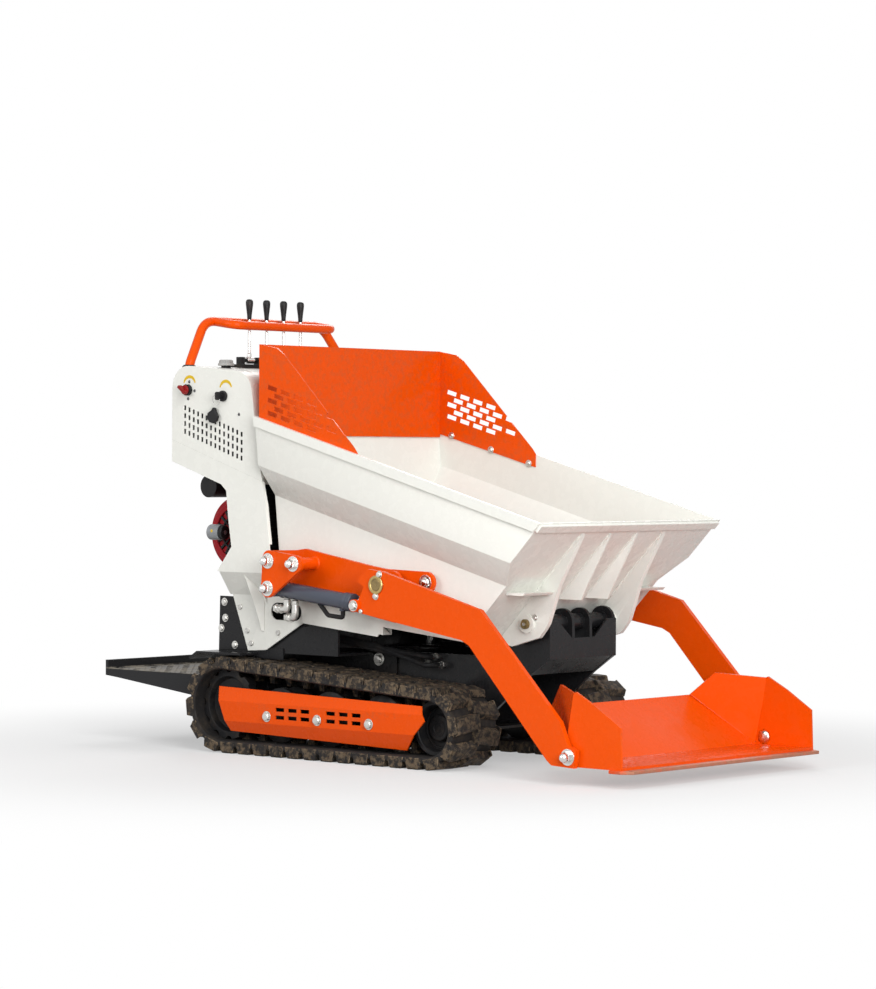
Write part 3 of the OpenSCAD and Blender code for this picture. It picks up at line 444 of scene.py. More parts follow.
def rounded_path(points, radius, steps=7):
    """A polyline with its inner corners turned into arcs."""
    points = [Vector(point) for point in points]
    path = [points[0]]
    for before, corner, after in zip(points, points[1:], points[2:]):
        back = (before - corner).normalized()
        ahead = (after - corner).normalized()
        half = 0.5 * back.angle(ahead)
        room = 0.48 * min((before - corner).length, (after - corner).length)
        reach = min(radius / math.tan(half), room)
        for k in range(steps + 1):
            t = k / steps
            path.append((1 - t) ** 2 * (corner + back * reach) + 2 * t * (1 - t) * corner
                        + t ** 2 * (corner + ahead * reach))
    path.append(points[-1])
    return path


def tube(shape, path, radius, segments=20, closed=False):
    """Adds a round tube along a path."""
    path = [Vector(point) for point in path]
    count = len(path)
    normal = None
    rings = []
    for k, point in enumerate(path):
        if closed:
            ahead = (path[(k + 1) % count] - path[k - 1]).normalized()
        else:
            ahead = (path[min(k + 1, count - 1)] - path[max(k - 1, 0)]).normalized()
        if normal is None:
            normal = ahead.orthogonal().normalized()
        normal = (normal - ahead * normal.dot(ahead)).normalized()
        other = ahead.cross(normal)
        ring = []
        for j in range(segments):
            angle = FULL_TURN * j / segments
            arm = normal * math.cos(angle) + other * math.sin(angle)
            ring.append(shape.verts.new(point + radius * arm))
        rings.append(ring)
    pairs = list(zip(rings, rings[1:]))
    if closed:
        offset = min(range(segments), key=lambda j: (rings[-1][0].co - rings[0][j].co).length)
        pairs.append((rings[-1], rings[0][offset:] + rings[0][:offset]))
    for low, high in pairs:
        for j in range(segments):
            after = (j + 1) % segments
            shape.faces.new((low[j], low[after], high[after], high[j]))
    if not closed:
        shape.faces.new(rings[0][::-1])
        shape.faces.new(rings[-1])


def rod(shape, place, radius, low, high, segments=40):
    """Adds a plain round or many-sided solid along the frame's Z."""
    lathe(shape, [(0.0, low), (radius, low), (radius, high), (0.0, high)], place, segments)


def washer(shape, place, outer, inner, low, high):
    soft = 0.6
    profile = [(inner, low), (outer, low), (outer, high - soft), (outer - soft, high), (inner, high),
               (inner, low)]
    lathe(shape, profile, place, 36)


def hex_head(shape, place, radius, low, high):
    """Hexagon with a turned-down rim and a slight dome."""
    rim = high - 0.18 * radius
    lathe(shape, [(0.0, low), (radius, low), (radius, rim)], place, 6)
    dome = [(radius * 0.99, rim - 0.2), (0.86 * radius, high), (0.4 * radius, high + 0.4), (0.0, high + 0.5)]
    lathe(shape, dome, place, 36)


def acorn(shape, place, radius, reach):
    """Washer, hexagon and dome of a cap nut that ends at reach."""
    thick = 3.0
    neck, shoulder = 0.80 * radius, 1.08 * radius
    washer(shape, place, 1.42 * radius, 0.5 * radius, 0.0, thick)
    hexagon = [(0.0, thick), (radius, thick), (radius, 0.80 * radius), (0.90 * radius, 0.92 * radius)]
    lathe(shape, hexagon, place, 6)
    dome = [(0.0, 0.85 * radius), (neck, 0.85 * radius), (neck, shoulder)]
    height = reach - shoulder
    for k in range(1, 9):
        angle = math.pi / 2 * k / 8
        dome.append((neck * math.cos(angle), shoulder + height * math.sin(angle)))
    lathe(shape, dome, place, 32)


def button_head(shape, place, radius, height):
    profile = [(0.0, 0.0), (radius, 0.0)]
    for k in range(1, 7):
        angle = math.pi / 2 * k / 6
        profile.append((radius * math.cos(angle), height * math.sin(angle)))
    lathe(shape, profile, place, 28)


# Solids whose own shape is right

DRESSED = {
    "chassis_frame": 1.5, "track_frames": 1.5, "wheel_axles": 1.0, "travel_motors": 2.0, "track_covers": 1.2,
    "column_right": 0.9, "column_left": 0.9, "console_shell": 0.9, "console_panels": 0.9,
    "control_valve": 1.5, "oil_tank": 3.0, "engine_block": 1.5, "fan_shroud": 3.0, "starter_motor": 2.0,
    "muffler": 2.5, "air_cleaner": 2.5, "fuel_tank": 6.0, "hydraulic_pump": 2.0, "rear_brackets": 1.2,
    "loader_brackets": 1.5, "pivot_pins": 1.2, "skip_hinge_pin": 1.2, "switch_bodies": 1.2,
    "drive_sprocket_right": 1.5, "drive_sprocket_left": 1.5, "road_wheel_right_1": 2.0,
    "road_wheel_right_2": 2.0, "road_wheel_right_3": 2.0, "road_wheel_left_1": 2.0, "road_wheel_left_2": 2.0,
    "road_wheel_left_3": 2.0, "skip_tub": 1.0, "splash_guard": 0.9, "loader_arms": 1.6, "shovel": 1.4,
    "cutting_edge": 2.0, "lift_barrel_right": 1.5, "lift_barrel_left": 1.5, "lift_rod_right": 1.0,
    "lift_rod_left": 1.0, "tip_barrel": 1.5, "tip_rod": 1.0, "operator_platform": 2.0,
}
for node, bevel in DRESSED.items():
    dress(node, bevel, OTHER_LOOK.get(node))


# Rubber tracks

BELT_RUN = IDLER_X - SPROCKET_X
BELT_LEAN = 2.0 * math.atan((TAIL_R - NOSE_R) / BELT_RUN)
NOSE_BEND = (math.pi - BELT_LEAN) * NOSE_R
TAIL_BEND = (math.pi + BELT_LEAN) * TAIL_R
BELT_LEN = 2.0 * BELT_RUN + NOSE_BEND + TAIL_BEND
PITCH = BELT_LEN / LUG_COUNT
BEND_STEPS = 24
LUG_LAP = 10.0                  # how far a lug reaches past the middle of the belt
LUG_INSET = 2.0
LUG_PROUD = 1.6
LUG_SKEW = 7.0
TRACK_SHARP = 30.0


def belt_frame(s):
    """Frame on the middle line of the belt, its Z outwards. The upper run leans down to the smaller idler."""
    s %= BELT_LEN
    tail = Matrix.Translation((SPROCKET_X, 0.0, AXLE_Z))
    nose = Matrix.Translation((IDLER_X, 0.0, IDLER_Z))
    if s < BELT_RUN:
        return tail @ Matrix.Rotation(BELT_LEAN, 4, "Y") @ Matrix.Translation((s, 0.0, TAIL_R))
    s -= BELT_RUN
    if s < NOSE_BEND:
        return nose @ Matrix.Rotation(BELT_LEAN + s / NOSE_R, 4, "Y") @ Matrix.Translation((0.0, 0.0, NOSE_R))
    s -= NOSE_BEND
    if s < BELT_RUN:
        return nose @ Matrix.Rotation(math.pi, 4, "Y") @ Matrix.Translation((s, 0.0, NOSE_R))
    s -= BELT_RUN
    return tail @ Matrix.Rotation(math.pi + s / TAIL_R, 4, "Y") @ Matrix.Translation((0.0, 0.0, TAIL_R))


def tread_lug(shape, place, y0, y1, skew):
    """Tapered lug that leans along the belt from end to end."""
    base, top = 28.0, 22.0
    low, high = BELT_HALF_T - 3.0, BELT_HALF_T + LUG_H

    def ring(half, inset, z):
        return [(-half - skew, y0 + inset, z), (half - skew, y0 + inset, z),
                (half + skew, y1 - inset, z), (-half + skew, y1 - inset, z)]

    wedge(shape, ring(base, 0.0, low), ring(top, 4.0, high), place)


def track(name, side):
    flip = Matrix.Diagonal((1.0, side, 1.0, 1.0))
    shape = bmesh.new()
    lugs = bmesh.new()
    stations = [0.0]
    stations += [BELT_RUN + NOSE_BEND * k / BEND_STEPS for k in range(BEND_STEPS + 1)]
    stations += [2 * BELT_RUN + NOSE_BEND + TAIL_BEND * k / BEND_STEPS for k in range(BEND_STEPS)]
    soft = 4.0
    face = BELT_HALF_T
    flank = face - soft
    section = [(BELT_Y0, -flank), (BELT_Y0 + soft, -face), (BELT_Y1 - soft, -face), (BELT_Y1, -flank),
               (BELT_Y1, flank), (BELT_Y1 - soft, face), (BELT_Y0 + soft, face), (BELT_Y0, flank)]
    rings = []
    for s in stations:
        place = flip @ belt_frame(s)
        rings.append([shape.verts.new(place @ Vector((0.0, y, z))) for y, z in section])
    for low, high in zip(rings, rings[1:] + rings[:1]):
        for k in range(len(section)):
            after = (k + 1) % len(section)
            shape.faces.new((low[k], low[after], high[after], high[k]))
    for i in range(LUG_COUNT):
        outer = flip @ belt_frame(i * PITCH)
        inner = flip @ belt_frame((i + 0.5) * PITCH)
        tread_lug(lugs, outer, BELT_Y - LUG_LAP, BELT_Y1 - LUG_INSET, LUG_SKEW)
        tread_lug(lugs, inner, BELT_Y0 + LUG_INSET, BELT_Y + LUG_LAP, -LUG_SKEW)
        for place, y0, y1 in ((outer, BELT_Y1 - LUG_INSET, BELT_Y1 + LUG_PROUD),
                              (inner, BELT_Y0 - LUG_PROUD, BELT_Y0 + LUG_INSET)):
            wedge(shape, corners_at(32.0, y0, y1, -6.0), corners_at(25.0, y0, y1, 26.0), place)
        wedge(shape, corners_at(9.0, BELT_Y - 14.0, BELT_Y + 14.0, -44.0),
              corners_at(15.0, BELT_Y - 20.0, BELT_Y + 20.0, -7.0), outer)
    new_piece(name + "_dressed", shape, "chassis", "track_rubber", bevel=2.2, stands_for=(name,),
              sharp=TRACK_SHARP)
    # Lugs on the bends would dip below the ground by a corner's height
    for corner in lugs.verts:
        corner.co.z = max(corner.co.z, 0.0)
    new_piece(name + "_lugs", lugs, "chassis", "track_rubber", LUG_RUBBER, bevel=2.6, sharp=TRACK_SHARP)


for side, word in SIDE_WORD.items():
    track("rubber_track_" + word, side)


def idler(node, side):
    """Front wheel: two flanges beside the guide groove, a dished web and a flat hub cap with turned rings."""
    half, groove, rim, floor = 60.0, 26.0, 83.4, 40.0
    outer = [(0.0, 46.2), (9.0, 46.2), (10.0, 44.8), (17.0, 44.8), (18.0, 46.0), (25.0, 46.0), (26.0, 44.8),
             (35.0, 44.6), (38.0, 42.4), (40.0, 32.0), (44.0, 28.5), (56.0, 28.0), (57.0, 31.0), (58.0, 31.6),
             (60.5, 31.6), (61.5, 30.0), (62.0, 27.5), (66.0, 28.0), (69.0, half - 2.0), (71.0, half),
             (rim - 2.4, half), (rim, half - 2.4), (rim, groove), (floor, groove)]
    inner = [(floor, -groove), (rim, -groove), (rim, 2.4 - half), (rim - 2.4, -half), (71.0, -half),
             (66.0, -30.0), (44.0, -28.0), (38.0, -half), (20.2, -half)]
    shape = bmesh.new()
    lathe(shape, outer + inner, facing(IDLER_X, BELT_Y * side, IDLER_Z, side), 64)
    new_piece(node + "_dressed", shape, BODY_OF[node], SLOT_OF[node], stands_for=(node,), sharp=TRACK_SHARP)


for side, word in SIDE_WORD.items():
    idler("idler_wheel_" + word, side)


# Handlebar and levers

BAR_X, BAR_Y = -721.0, 372.0


def handlebar():
    """Hoop on two feet, with a guard loop in front of the levers."""
    shape = bmesh.new()
    rear_x, rear_z = -749.5, 1370.0
    front_x, front_z = -650.5, 1356.0
    half = [(BAR_X, BAR_Y, 1184.0), (BAR_X, BAR_Y, 1226.0), (rear_x, 275.0, rear_z)]
    hoop = half + [(x, -y, z) for x, y, z in reversed(half)]
    tube(shape, rounded_path(hoop, 82.0, 12), 15.0, 24)
    guard = [(rear_x + 4.0, 234.0, rear_z - 0.5), (front_x, 234.0, front_z)]
    guard += [(x, -y, z) for x, y, z in reversed(guard)]
    tube(shape, rounded_path(guard, 42.0, 12), 14.2, 24)
    new_piece("handlebar_dressed", shape, "chassis", "orange_paint", stands_for=("handlebar",))
    collars = bmesh.new()
    for side in SIDES:
        base = Matrix.Translation((BAR_X, BAR_Y * side, 0.0))
        profile = [(15.2, 1208.0), (23.0, 1210.0), (23.0, 1220.0), (19.0, 1225.0), (15.2, 1226.0)]
        lathe(collars, profile, base, 36)
    new_piece("handlebar_collars", collars, "chassis", "black_plastic")


handlebar()

LEVER_X, LEVER_Z = -700.0, 1246.0
LEVER_Y = (-120.0, -40.0, 40.0, 120.0)
KNOB = [(0.0, 132.0), (6.4, 132.0), (7.2, 134.0), (7.4, 142.0), (8.6, 154.0), (10.4, 168.0), (11.8, 180.0),
        (12.2, 187.0), (11.6, 192.0), (9.8, 195.8), (6.2, 198.2), (0.0, 199.0)]
LEVER_HUB = [(6.2, -16.0), (10.4, -16.0), (11.0, -15.4), (11.0, 15.4), (10.4, 16.0), (6.2, 16.0),
             (6.2, -16.0)]
for number, lever_y in enumerate(LEVER_Y, start=1):
    node = "control_lever_%d" % number
    base = Matrix.Translation((LEVER_X, lever_y, LEVER_Z))
    arm = bmesh.new()
    rod(arm, base, 5.0, 4.0, 134.0, 24)
    lathe(arm, [(0.0, 10.0), (8.0, 10.0), (8.0, 20.0), (5.5, 24.0), (0.0, 24.0)], base, 6)
    lathe(arm, LEVER_HUB, base @ Matrix.Rotation(math.radians(90.0), 4, "X"))
    new_piece(node + "_rod", arm, node, "chrome", stands_for=(node,))
    grip = bmesh.new()
    lathe(grip, KNOB, base, 32)
    new_piece(node + "_knob", grip, node, "black_plastic")


# Nuts, bolts and washers

ACORN = (17.0, 32.0)            # hexagon's radius, reach
PANEL_BOLTS = ((-510.0, 459.0), (-478.0, 385.0), (-344.0, 383.0), (-460.0, 346.0))
REAR_BRACKET_BOLTS = ((-585.0, 472.0), (-581.0, 421.0), (-598.0, 388.0), (-538.0, 337.0))
GUARD_BOLT_X = (-300.0, -130.0, 30.0)
RIM_Z = 959.0                   # skip's rim above the origin


def bracket_fasteners():
    shape = bmesh.new()
    for side in SIDES:
        for x, z in (*BRACKET_NUTS, LIFT_BASE):
            acorn(shape, facing(x, ARM_FACE_Y * side, z, side), *ACORN)
        lobe = facing(LOBE_NUT[0], INNER_PLATE_Y * side, LOBE_NUT[1], side)
        washer(shape, lobe, 24.0, 8.0, 0.0, 2.4)
        hex_head(shape, lobe, 17.0, 2.4, 9.0)
        button_head(shape, lobe @ Matrix.Translation((0.0, 0.0, 9.0)), 11.0, 4.0)
        rod(shape, facing(LIFT_BASE[0], 384.0 * side, LIFT_BASE[1], side), 12.0, 0.0, 108.0)
    new_piece("bracket_bolts_dressed", shape, "chassis", "chrome", bevel=0.8, stands_for=("bracket_bolts",))


def cover_fasteners():
    shape = bmesh.new()
    for side in SIDES:
        for x in ROAD_X:
            place = facing(x, COVER_Y * side, ROAD_Z, side)
            washer(shape, place, 17.0, 6.0, 0.0, 3.0)
            hex_head(shape, place, 12.5, 3.0, 10.5)
            rod(shape, place, 7.0, -30.0, 3.0, 24)
    new_piece("frame_bolts_dressed", shape, "chassis", "zinc_steel", bevel=0.5, stands_for=("frame_bolts",))
    panel = bmesh.new()
    for side in SIDES:
        for x, z in PANEL_BOLTS:
            place = facing(x, PANEL_Y * side, z, side)
            lathe(panel, [(0.0, 4.4), (4.6, 4.4), (4.6, 3.0), (0.0, 3.0)], place, 6)
            lathe(panel, [(4.8, 2.6), (4.8, 4.6), (7.8, 4.6), (9.0, 3.4), (9.0, 0.0), (0.0, 0.0)], place, 28)
        for x, z in REAR_BRACKET_BOLTS:
            place = facing(x, REAR_BRACKET_Y * side, z, side)
            washer(panel, place, 13.0, 4.0, 0.0, 2.0)
            hex_head(panel, place, 9.0, 2.0, 7.0)
    new_piece("panel_bolts", panel, "chassis", "zinc_steel", bevel=0.4)


def shovel_fasteners():
    shape = bmesh.new()
    for side in SIDES:
        place = facing(SHOVEL_PIN[0], ARM_FACE_Y * side, SHOVEL_PIN[1], side)
        acorn(shape, place, *ACORN)
        spacer = [(0.0, -28.0), (24.0, -28.0), (24.0, -16.2), (12.0, -16.2), (12.0, 1.0), (0.0, 1.0)]
        lathe(shape, spacer, place)
        inside = facing(SHOVEL_PIN[0], 464.0 * side, SHOVEL_PIN[1], -side)
        button_head(shape, inside, 20.0, 7.0)
    new_piece("shovel_bolts_dressed", shape, "loader", "chrome", bevel=0.6, stands_for=("shovel_bolts",))


def guard_fasteners():
    shape = bmesh.new()
    for side in SIDES:
        for x in GUARD_BOLT_X:
            place = facing(x, GUARD_Y * side, RIM_Z - RIM_SLOPE * x - 36.0, -side)
            washer(shape, place, 12.0, 4.0, 0.0, 1.6)
            button_head(shape, place, 8.6, 6.0)
    new_piece("guard_bolts_dressed", shape, "skip", "zinc_steel", stands_for=("guard_bolts",))


def arm_fittings():
    """Pivot bushes and small bolts on the arms, and the ends of the skip's hinge pin."""
    bush = bmesh.new()
    small = bmesh.new()
    pin_end = bmesh.new()
    keeper = bmesh.new()
    for side in SIDES:
        place = facing(PIVOT[0], ARM_FACE_Y * side, PIVOT[1], side)
        profile = [(18.3, 0.0), (28.0, 0.0), (28.0, 4.6), (26.6, 6.0), (20.0, 6.0), (18.3, 4.4), (18.3, 0.0)]
        lathe(bush, profile, place)
        for x, z in ((210.0, 583.0), (196.0, 518.0)):
            bolt = facing(x, ARM_FACE_Y * side, z, side)
            washer(small, bolt, 11.0, 3.0, 0.0, 1.8)
            hex_head(small, bolt, 8.2, 1.8, 7.4)
        head = facing(LINK[0], 501.0 * side, LINK[1], side)
        washer(small, head, 17.0, 4.0, 0.0, 2.0)
        hex_head(small, head, 12.0, 2.0, 10.0)
        lock = facing(138.0, ARM_FACE_Y * side, 471.0, side)
        hex_head(small, lock, 7.0, 0.0, 6.0)
        rod(pin_end, facing(HINGE[0], 224.0 * side, HINGE[1], side), 5.0, 0.0, 4.4, 6)
        keep = facing(575.0, 204.0 * side, 457.0, side)
        washer(keeper, keep, 10.0, 3.0, 0.0, 1.6)
        hex_head(keeper, keep, 7.4, 1.6, 6.4)
    new_piece("arm_bushes", bush, "loader", "brass")
    new_piece("arm_small_bolts", small, "loader", "zinc_steel", bevel=0.3)
    new_piece("hinge_pin_ends", pin_end, "chassis", "zinc_steel", bevel=0.3)
    new_piece("hinge_keepers", keeper, "skip", "zinc_steel", bevel=0.3)


bracket_fasteners()
cover_fasteners()
shovel_fasteners()
guard_fasteners()
arm_fittings()


# Hydraulic hoses with crimped ends

HOSE_FOOT_Y, HOSE_FOOT_Z = 312.0, 326.0
HOSE_NUT = [(0.0, 0.0), (13.6, 0.0), (14.4, 1.0), (14.4, 13.0), (13.6, 14.0), (0.0, 14.0)]


def hoses():
    """Two hoses a side, up from the deck, out through the oval hole and up to the loader bracket."""
    rubber_part = bmesh.new()
    steel_part = bmesh.new()
    for side in SIDES:
        for i in (0, 1):
            x = -338.0 + 48.0 * i
            z = 463.0 - 26.0 * i
            end_x = -214.0 + 34.0 * i
            top = 496.0 - 4.0 * i
            inner = Vector((x + 34.0, 404.0 * side, z))
            bend = Vector((end_x, LIFT_Y * side, z))
            route = [(x, HOSE_FOOT_Y * side, HOSE_FOOT_Z), (x, HOSE_FOOT_Y * side, z), inner, bend,
                     (end_x, LIFT_Y * side, top)]
            tube(rubber_part, rounded_path(route, 34.0, 8), 9.6, 18)
            foot = Matrix.Translation((x, HOSE_FOOT_Y * side, HOSE_FOOT_Z))
            rod(steel_part, foot, 13.0, 0.0, 12.0, 6)
            lathe(steel_part, [(0.0, 12.0), (12.0, 12.0), (12.0, 40.0), (10.4, 43.0), (0.0, 43.0)], foot, 28)
            elbow = [inner.lerp(bend, 0.08), bend, (end_x, LIFT_Y * side, top - 8.0)]
            tube(steel_part, rounded_path(elbow, 24.0, 8), 10.8, 18)
            for share in (0.10, 0.42):
                lathe(steel_part, HOSE_NUT, along(inner.lerp(bend, share), bend), 6)
            port = Matrix.Translation((end_x, LIFT_Y * side, top - 14.0))
            lathe(steel_part, [(0.0, 0.0), (12.0, 0.0), (12.6, 2.0), (12.6, 12.0), (0.0, 12.0)], port, 6)
    new_piece("hydraulic_hoses_dressed", rubber_part, "chassis", "hose_rubber",
              stands_for=("hydraulic_hoses",))
    new_piece("hose_fittings", steel_part, "chassis", "zinc_steel", bevel=0.5)


hoses()


# Console: filler cap, switches, keys and their marks

def filler_cap():
    cap = bmesh.new()
    base = Matrix.Translation((-635.0, -292.0, 1224.0))
    lathe(cap, [(0.0, 0.0), (26.0, 0.0), (26.0, 6.0), (24.6, 8.0), (21.6, 8.4), (21.0, 10.0), (21.0, 16.0),
                (19.0, 18.6), (8.0, 19.0), (0.0, 19.0)], base)
    ribs = 20
    for k in range(ribs):
        rib = base @ Matrix.Rotation(FULL_TURN * k / ribs, 4, "Z") @ Matrix.Translation((21.4, 0.0, 0.0))
        lathe(cap, [(0.0, 8.0), (1.5, 8.0), (1.5, 16.4), (0.0, 17.0)], rib, 8)
    new_piece("filler_cap_dressed", cap, "chassis", "black_plastic", CAP_GREY, stands_for=("filler_cap",))


def switch_marks():
    """Plain yellow arcs above the two switches, thinner at their ends."""
    marks = bmesh.new()
    first, sweep, steps = 8.0, 164.0, 18
    angles = [math.radians(first + sweep * k / steps) for k in range(steps + 1)]
    outline = [(28.0 * math.cos(angle), 28.0 * math.sin(angle)) for angle in angles]
    for k, angle in enumerate(reversed(angles)):
        radius = 18.0 + 5.0 * (abs(2 * k - steps) / steps) ** 2
        outline.append((radius * math.cos(angle), radius * math.sin(angle)))
    for x, z in ((-691.0, 1164.0), (-529.0, 1148.0)):
        prism(marks, outline, 0.0, 0.4, facing(x, -COLUMN_Y, z, -1))
    new_piece("switch_marks", marks, "chassis", "cream_paint", DECAL)


def console_screws():
    screws = bmesh.new()
    for x, z in ((-692.0, 1171.0), (-668.0, 1142.0), (-697.0, 1117.0)):
        button_head(screws, facing(x, -COLUMN_Y, z, -1), 5.0, 2.6)
    for side in SIDES:
        button_head(screws, facing(-470.0, COLUMN_Y * side, 1066.0, side), 5.0, 2.6)
    new_piece("console_screws", screws, "chassis", "dark_iron", DARK_BOLT)


def keys():
    """Red key of the battery isolator and black key of the ignition."""
    key = bmesh.new()
    out = facing(ISOLATOR[0], -COLUMN_Y, ISOLATOR[1], -1)
    lathe(key, [(0.0, 2.0), (9.0, 2.0), (9.0, 13.0), (14.2, 13.0), (15.0, 13.8), (15.0, 19.0), (13.6, 20.2),
                (0.0, 20.2)], out)
    handle = out @ Matrix.Rotation(math.radians(-35.0), 4, "Z")
    wedge(key, corners_at(18.0, -6.0, 6.0, 19.0), corners_at(19.0, -4.4, 4.4, 34.0), handle)
    new_piece("isolator_key_dressed", key, "isolator_key", "key_red", bevel=1.6, stands_for=("isolator_key",))

    blade = bmesh.new()
    out = facing(IGNITION[0], -COLUMN_Y, IGNITION[1], -1)
    rod(blade, out, 6.0, 2.0, 14.0, 24)
    turned = out @ Matrix.Rotation(math.radians(90.0), 4, "Y")
    head = [(-38.0, -9.0), (-34.0, -13.0), (-17.0, -13.0), (-13.0, -9.0),
            (-13.0, 9.0), (-17.0, 13.0), (-34.0, 13.0), (-38.0, 9.0)]
    prism(blade, head, -2.6, 2.6, turned)
    new_piece("ignition_key_dressed", blade, "ignition_key", "black_plastic", bevel=1.0,
              stands_for=("ignition_key",))


def key_ring():
    """Split ring and fob that hang from the ignition key."""
    ring = bmesh.new()
    hang = Vector((IGNITION[0], -COLUMN_Y - 25.0, IGNITION[1]))
    middle = hang + Vector((-13.0, 4.0, -13.5))
    first, second = Vector((0.66, -0.2, 0.72)), Vector((0.72, 0.2, -0.66))
    steps = 28
    loop = []
    for k in range(steps):
        angle = FULL_TURN * k / steps
        loop.append(middle + 15.5 * (first * math.cos(angle) + second * math.sin(angle)))
    tube(ring, loop, 1.1, 10, True)
    new_piece("key_ring", ring, "chassis", "chrome")

    fob = bmesh.new()
    body = [(-5.0, 22.0), (5.0, 22.0), (9.0, 12.0), (23.0, 0.0), (21.0, -16.0), (9.0, -27.0), (-9.0, -27.0),
            (-21.0, -16.0), (-23.0, 0.0), (-9.0, 12.0)]
    place = facing(-571.0, -COLUMN_Y - 12.0, 1066.0, -1) @ Matrix.Rotation(math.radians(-14.0), 4, "Z")
    prism(fob, body, -5.0, 6.0, place)
    new_piece("key_fob", fob, "chassis", "black_plastic", bevel=2.4)


filler_cap()
switch_marks()
console_screws()
keys()
key_ring()


# Cylinder ends, welds and other small work

PORT_AT = 276.0                 # along the barrel, where its hook hose starts
GLAND = [(24.8, 288.0), (28.4, 289.0), (28.4, 300.0), (27.6, 301.0), (27.6, 305.0), (28.4, 306.0),
         (28.4, 320.0), (26.6, 322.2), (13.2, 322.4), (13.2, 318.0)]


def cylinder_details():
    """Collar, gland and hook hose on each lift barrel."""
    for side, word in SIDE_WORD.items():
        barrel = "lift_barrel_" + word
        base = Vector((LIFT_BASE[0], LIFT_Y * side, LIFT_BASE[1]))
        tip = Vector((LINK[0], LIFT_Y * side, LINK[1]))
        place = along(base, tip)
        ends = bmesh.new()
        lathe(ends, [(24.8, 20.0), (27.0, 22.0), (27.0, 27.0), (24.8, 30.0)], place)
        lathe(ends, GLAND, place)
        axis = (tip - base).normalized()
        port = base + axis * PORT_AT
        rod(ends, along(port, port - UP), 11.0, 20.0, 31.0, 24)
        new_piece(barrel + "_ends", ends, barrel, "barrel_grey", bevel=0.6)
        hook = bmesh.new()
        start = port - UP * 30.0
        path = [start, start - UP * 21.0, start - axis * 62.0 - UP * 23.0, start - axis * 106.0 + UP * 15.0]
        tube(hook, rounded_path(path, 20.0, 8), 7.0, 16)
        new_piece("lift_hook_hose_" + word, hook, barrel, "hose_rubber")


SKIP_LIP = (775.0, 736.0)
SKIP_FRONT_SLOPE = 1.023        # rise of the skip's front wall over its run
BEAD_STEP = 7.0


def bead(shape, start, end, radius):
    """Adds a weld bead along a straight seam."""
    start, end = Vector(start), Vector(end)
    count = max(2, int((end - start).length / BEAD_STEP))
    path = [start.lerp(end, k / count) for k in range(count + 1)]
    tube(shape, path, radius, 8)


def welds():
    def front_wall(y, z):
        return (SKIP_LIP[0] + (z - SKIP_LIP[1]) / SKIP_FRONT_SLOPE + 1.0, y, z)

    cream = bmesh.new()
    for side in SIDES:
        for y in (59.0, 69.0, 187.0, 205.0):
            bead(cream, front_wall(y * side, 510.0), front_wall(y * side, 700.0), 3.2)
    new_piece("skip_welds", cream, "skip", "cream_paint")

    orange = bmesh.new()
    for side in SIDES:
        for x, z in BRACKET_NUTS:
            place = facing(x, INNER_PLATE_Y * side, z, side)
            lathe(orange, [(19.0, 0.0), (23.0, 0.2), (21.6, 2.4), (19.0, 4.4)], place, 36)
    new_piece("bracket_welds", orange, "chassis", "orange_paint")

    seam = bmesh.new()
    for side in SIDES:
        bead(seam, (756.0, 326.0 * side, 212.0), (907.0, 457.0 * side, 63.0), 2.2)
    new_piece("shovel_welds", seam, "loader", "orange_paint")


def recoil_grille():
    shape = bmesh.new()
    place = facing(-590.0, -293.0, 690.0, -1)
    ribs = 18
    for k in range(ribs):
        turn = place @ Matrix.Rotation(FULL_TURN * k / ribs, 4, "Z")
        wedge(shape, [(30.0, -3.0, 0.0), (77.0, -5.0, 0.0), (77.0, 5.0, 0.0), (30.0, 3.0, 0.0)],
              [(30.0, -2.0, 5.0), (77.0, -4.0, 5.0), (77.0, 4.0, 5.0), (30.0, 2.0, 5.0)], turn)
    lathe(shape, [(50.0, 0.0), (55.0, 0.0), (55.0, 6.0), (50.0, 6.0), (50.0, 0.0)], place, 48)
    new_piece("recoil_grille", shape, "chassis", "black_plastic", bevel=0.5)


PLATFORM_TOP = 235.0


def platform_tread():
    """Raised bars that lean to either side in turn, as on chequer plate."""
    shape = bmesh.new()
    for row in range(11):
        for column in range(18):
            x = -1120.0 + 36.0 * row
            y = -323.0 + 38.0 * column
            lean = 45.0 if (row + column) % 2 else -45.0
            place = Matrix.Translation((x, y, PLATFORM_TOP)) @ Matrix.Rotation(math.radians(lean), 4, "Z")
            wedge(shape, corners_at(13.0, -3.2, 3.2, -0.5), corners_at(8.0, -1.2, 1.2, 2.0), place)
    new_piece("platform_tread", shape, "platform", "chassis_black", PLATFORM)


def column_fins():
    """Gusset that stands aslant on each lower panel and sweeps out under the column."""
    shape = bmesh.new()
    outline = [(0.0, 385.0), (11.0, 388.0), (18.0, 420.0), (30.0, 462.0), (46.0, 510.0), (66.0, 564.0),
               (0.0, 502.0)]
    for side in SIDES:
        across = Vector((-0.70, 0.714 * side, 0.0))
        place = Matrix((across, UP, across.cross(UP))).transposed().to_4x4()
        place.translation = (-404.0, 349.5 * side, 0.0)
        prism(shape, outline, -2.5, 2.5, place)
    new_piece("column_fins", shape, "chassis", "cream_paint", bevel=0.8)


MOTOR_PLATE = [(-123.0, 262.0), (-10.0, 262.0), (-10.0, 340.0), (-18.0, 346.0), (-115.0, 346.0),
               (-123.0, 340.0)]
# Black sheet inboard of the oval hole, behind the hoses: painted shade that stands in for the dark inside of
# the machine
SHADE_SHEET_OUTLINE = [(-430.0, 326.5), (-308.0, 326.5), (-308.0, 492.0), (-320.0, 505.0), (-430.0, 505.0)]
BRACKET_FOOT = [(-612.0, 306.0), (-470.0, 306.0), (-420.0, 299.0), (-330.0, 297.0), (-330.0, 334.0),
                (-612.0, 334.0)]
SIDE_PORTS = ((113.0, 306.0), (150.0, 322.0), (176.0, 298.0))
BULKHEAD_X = -296.0


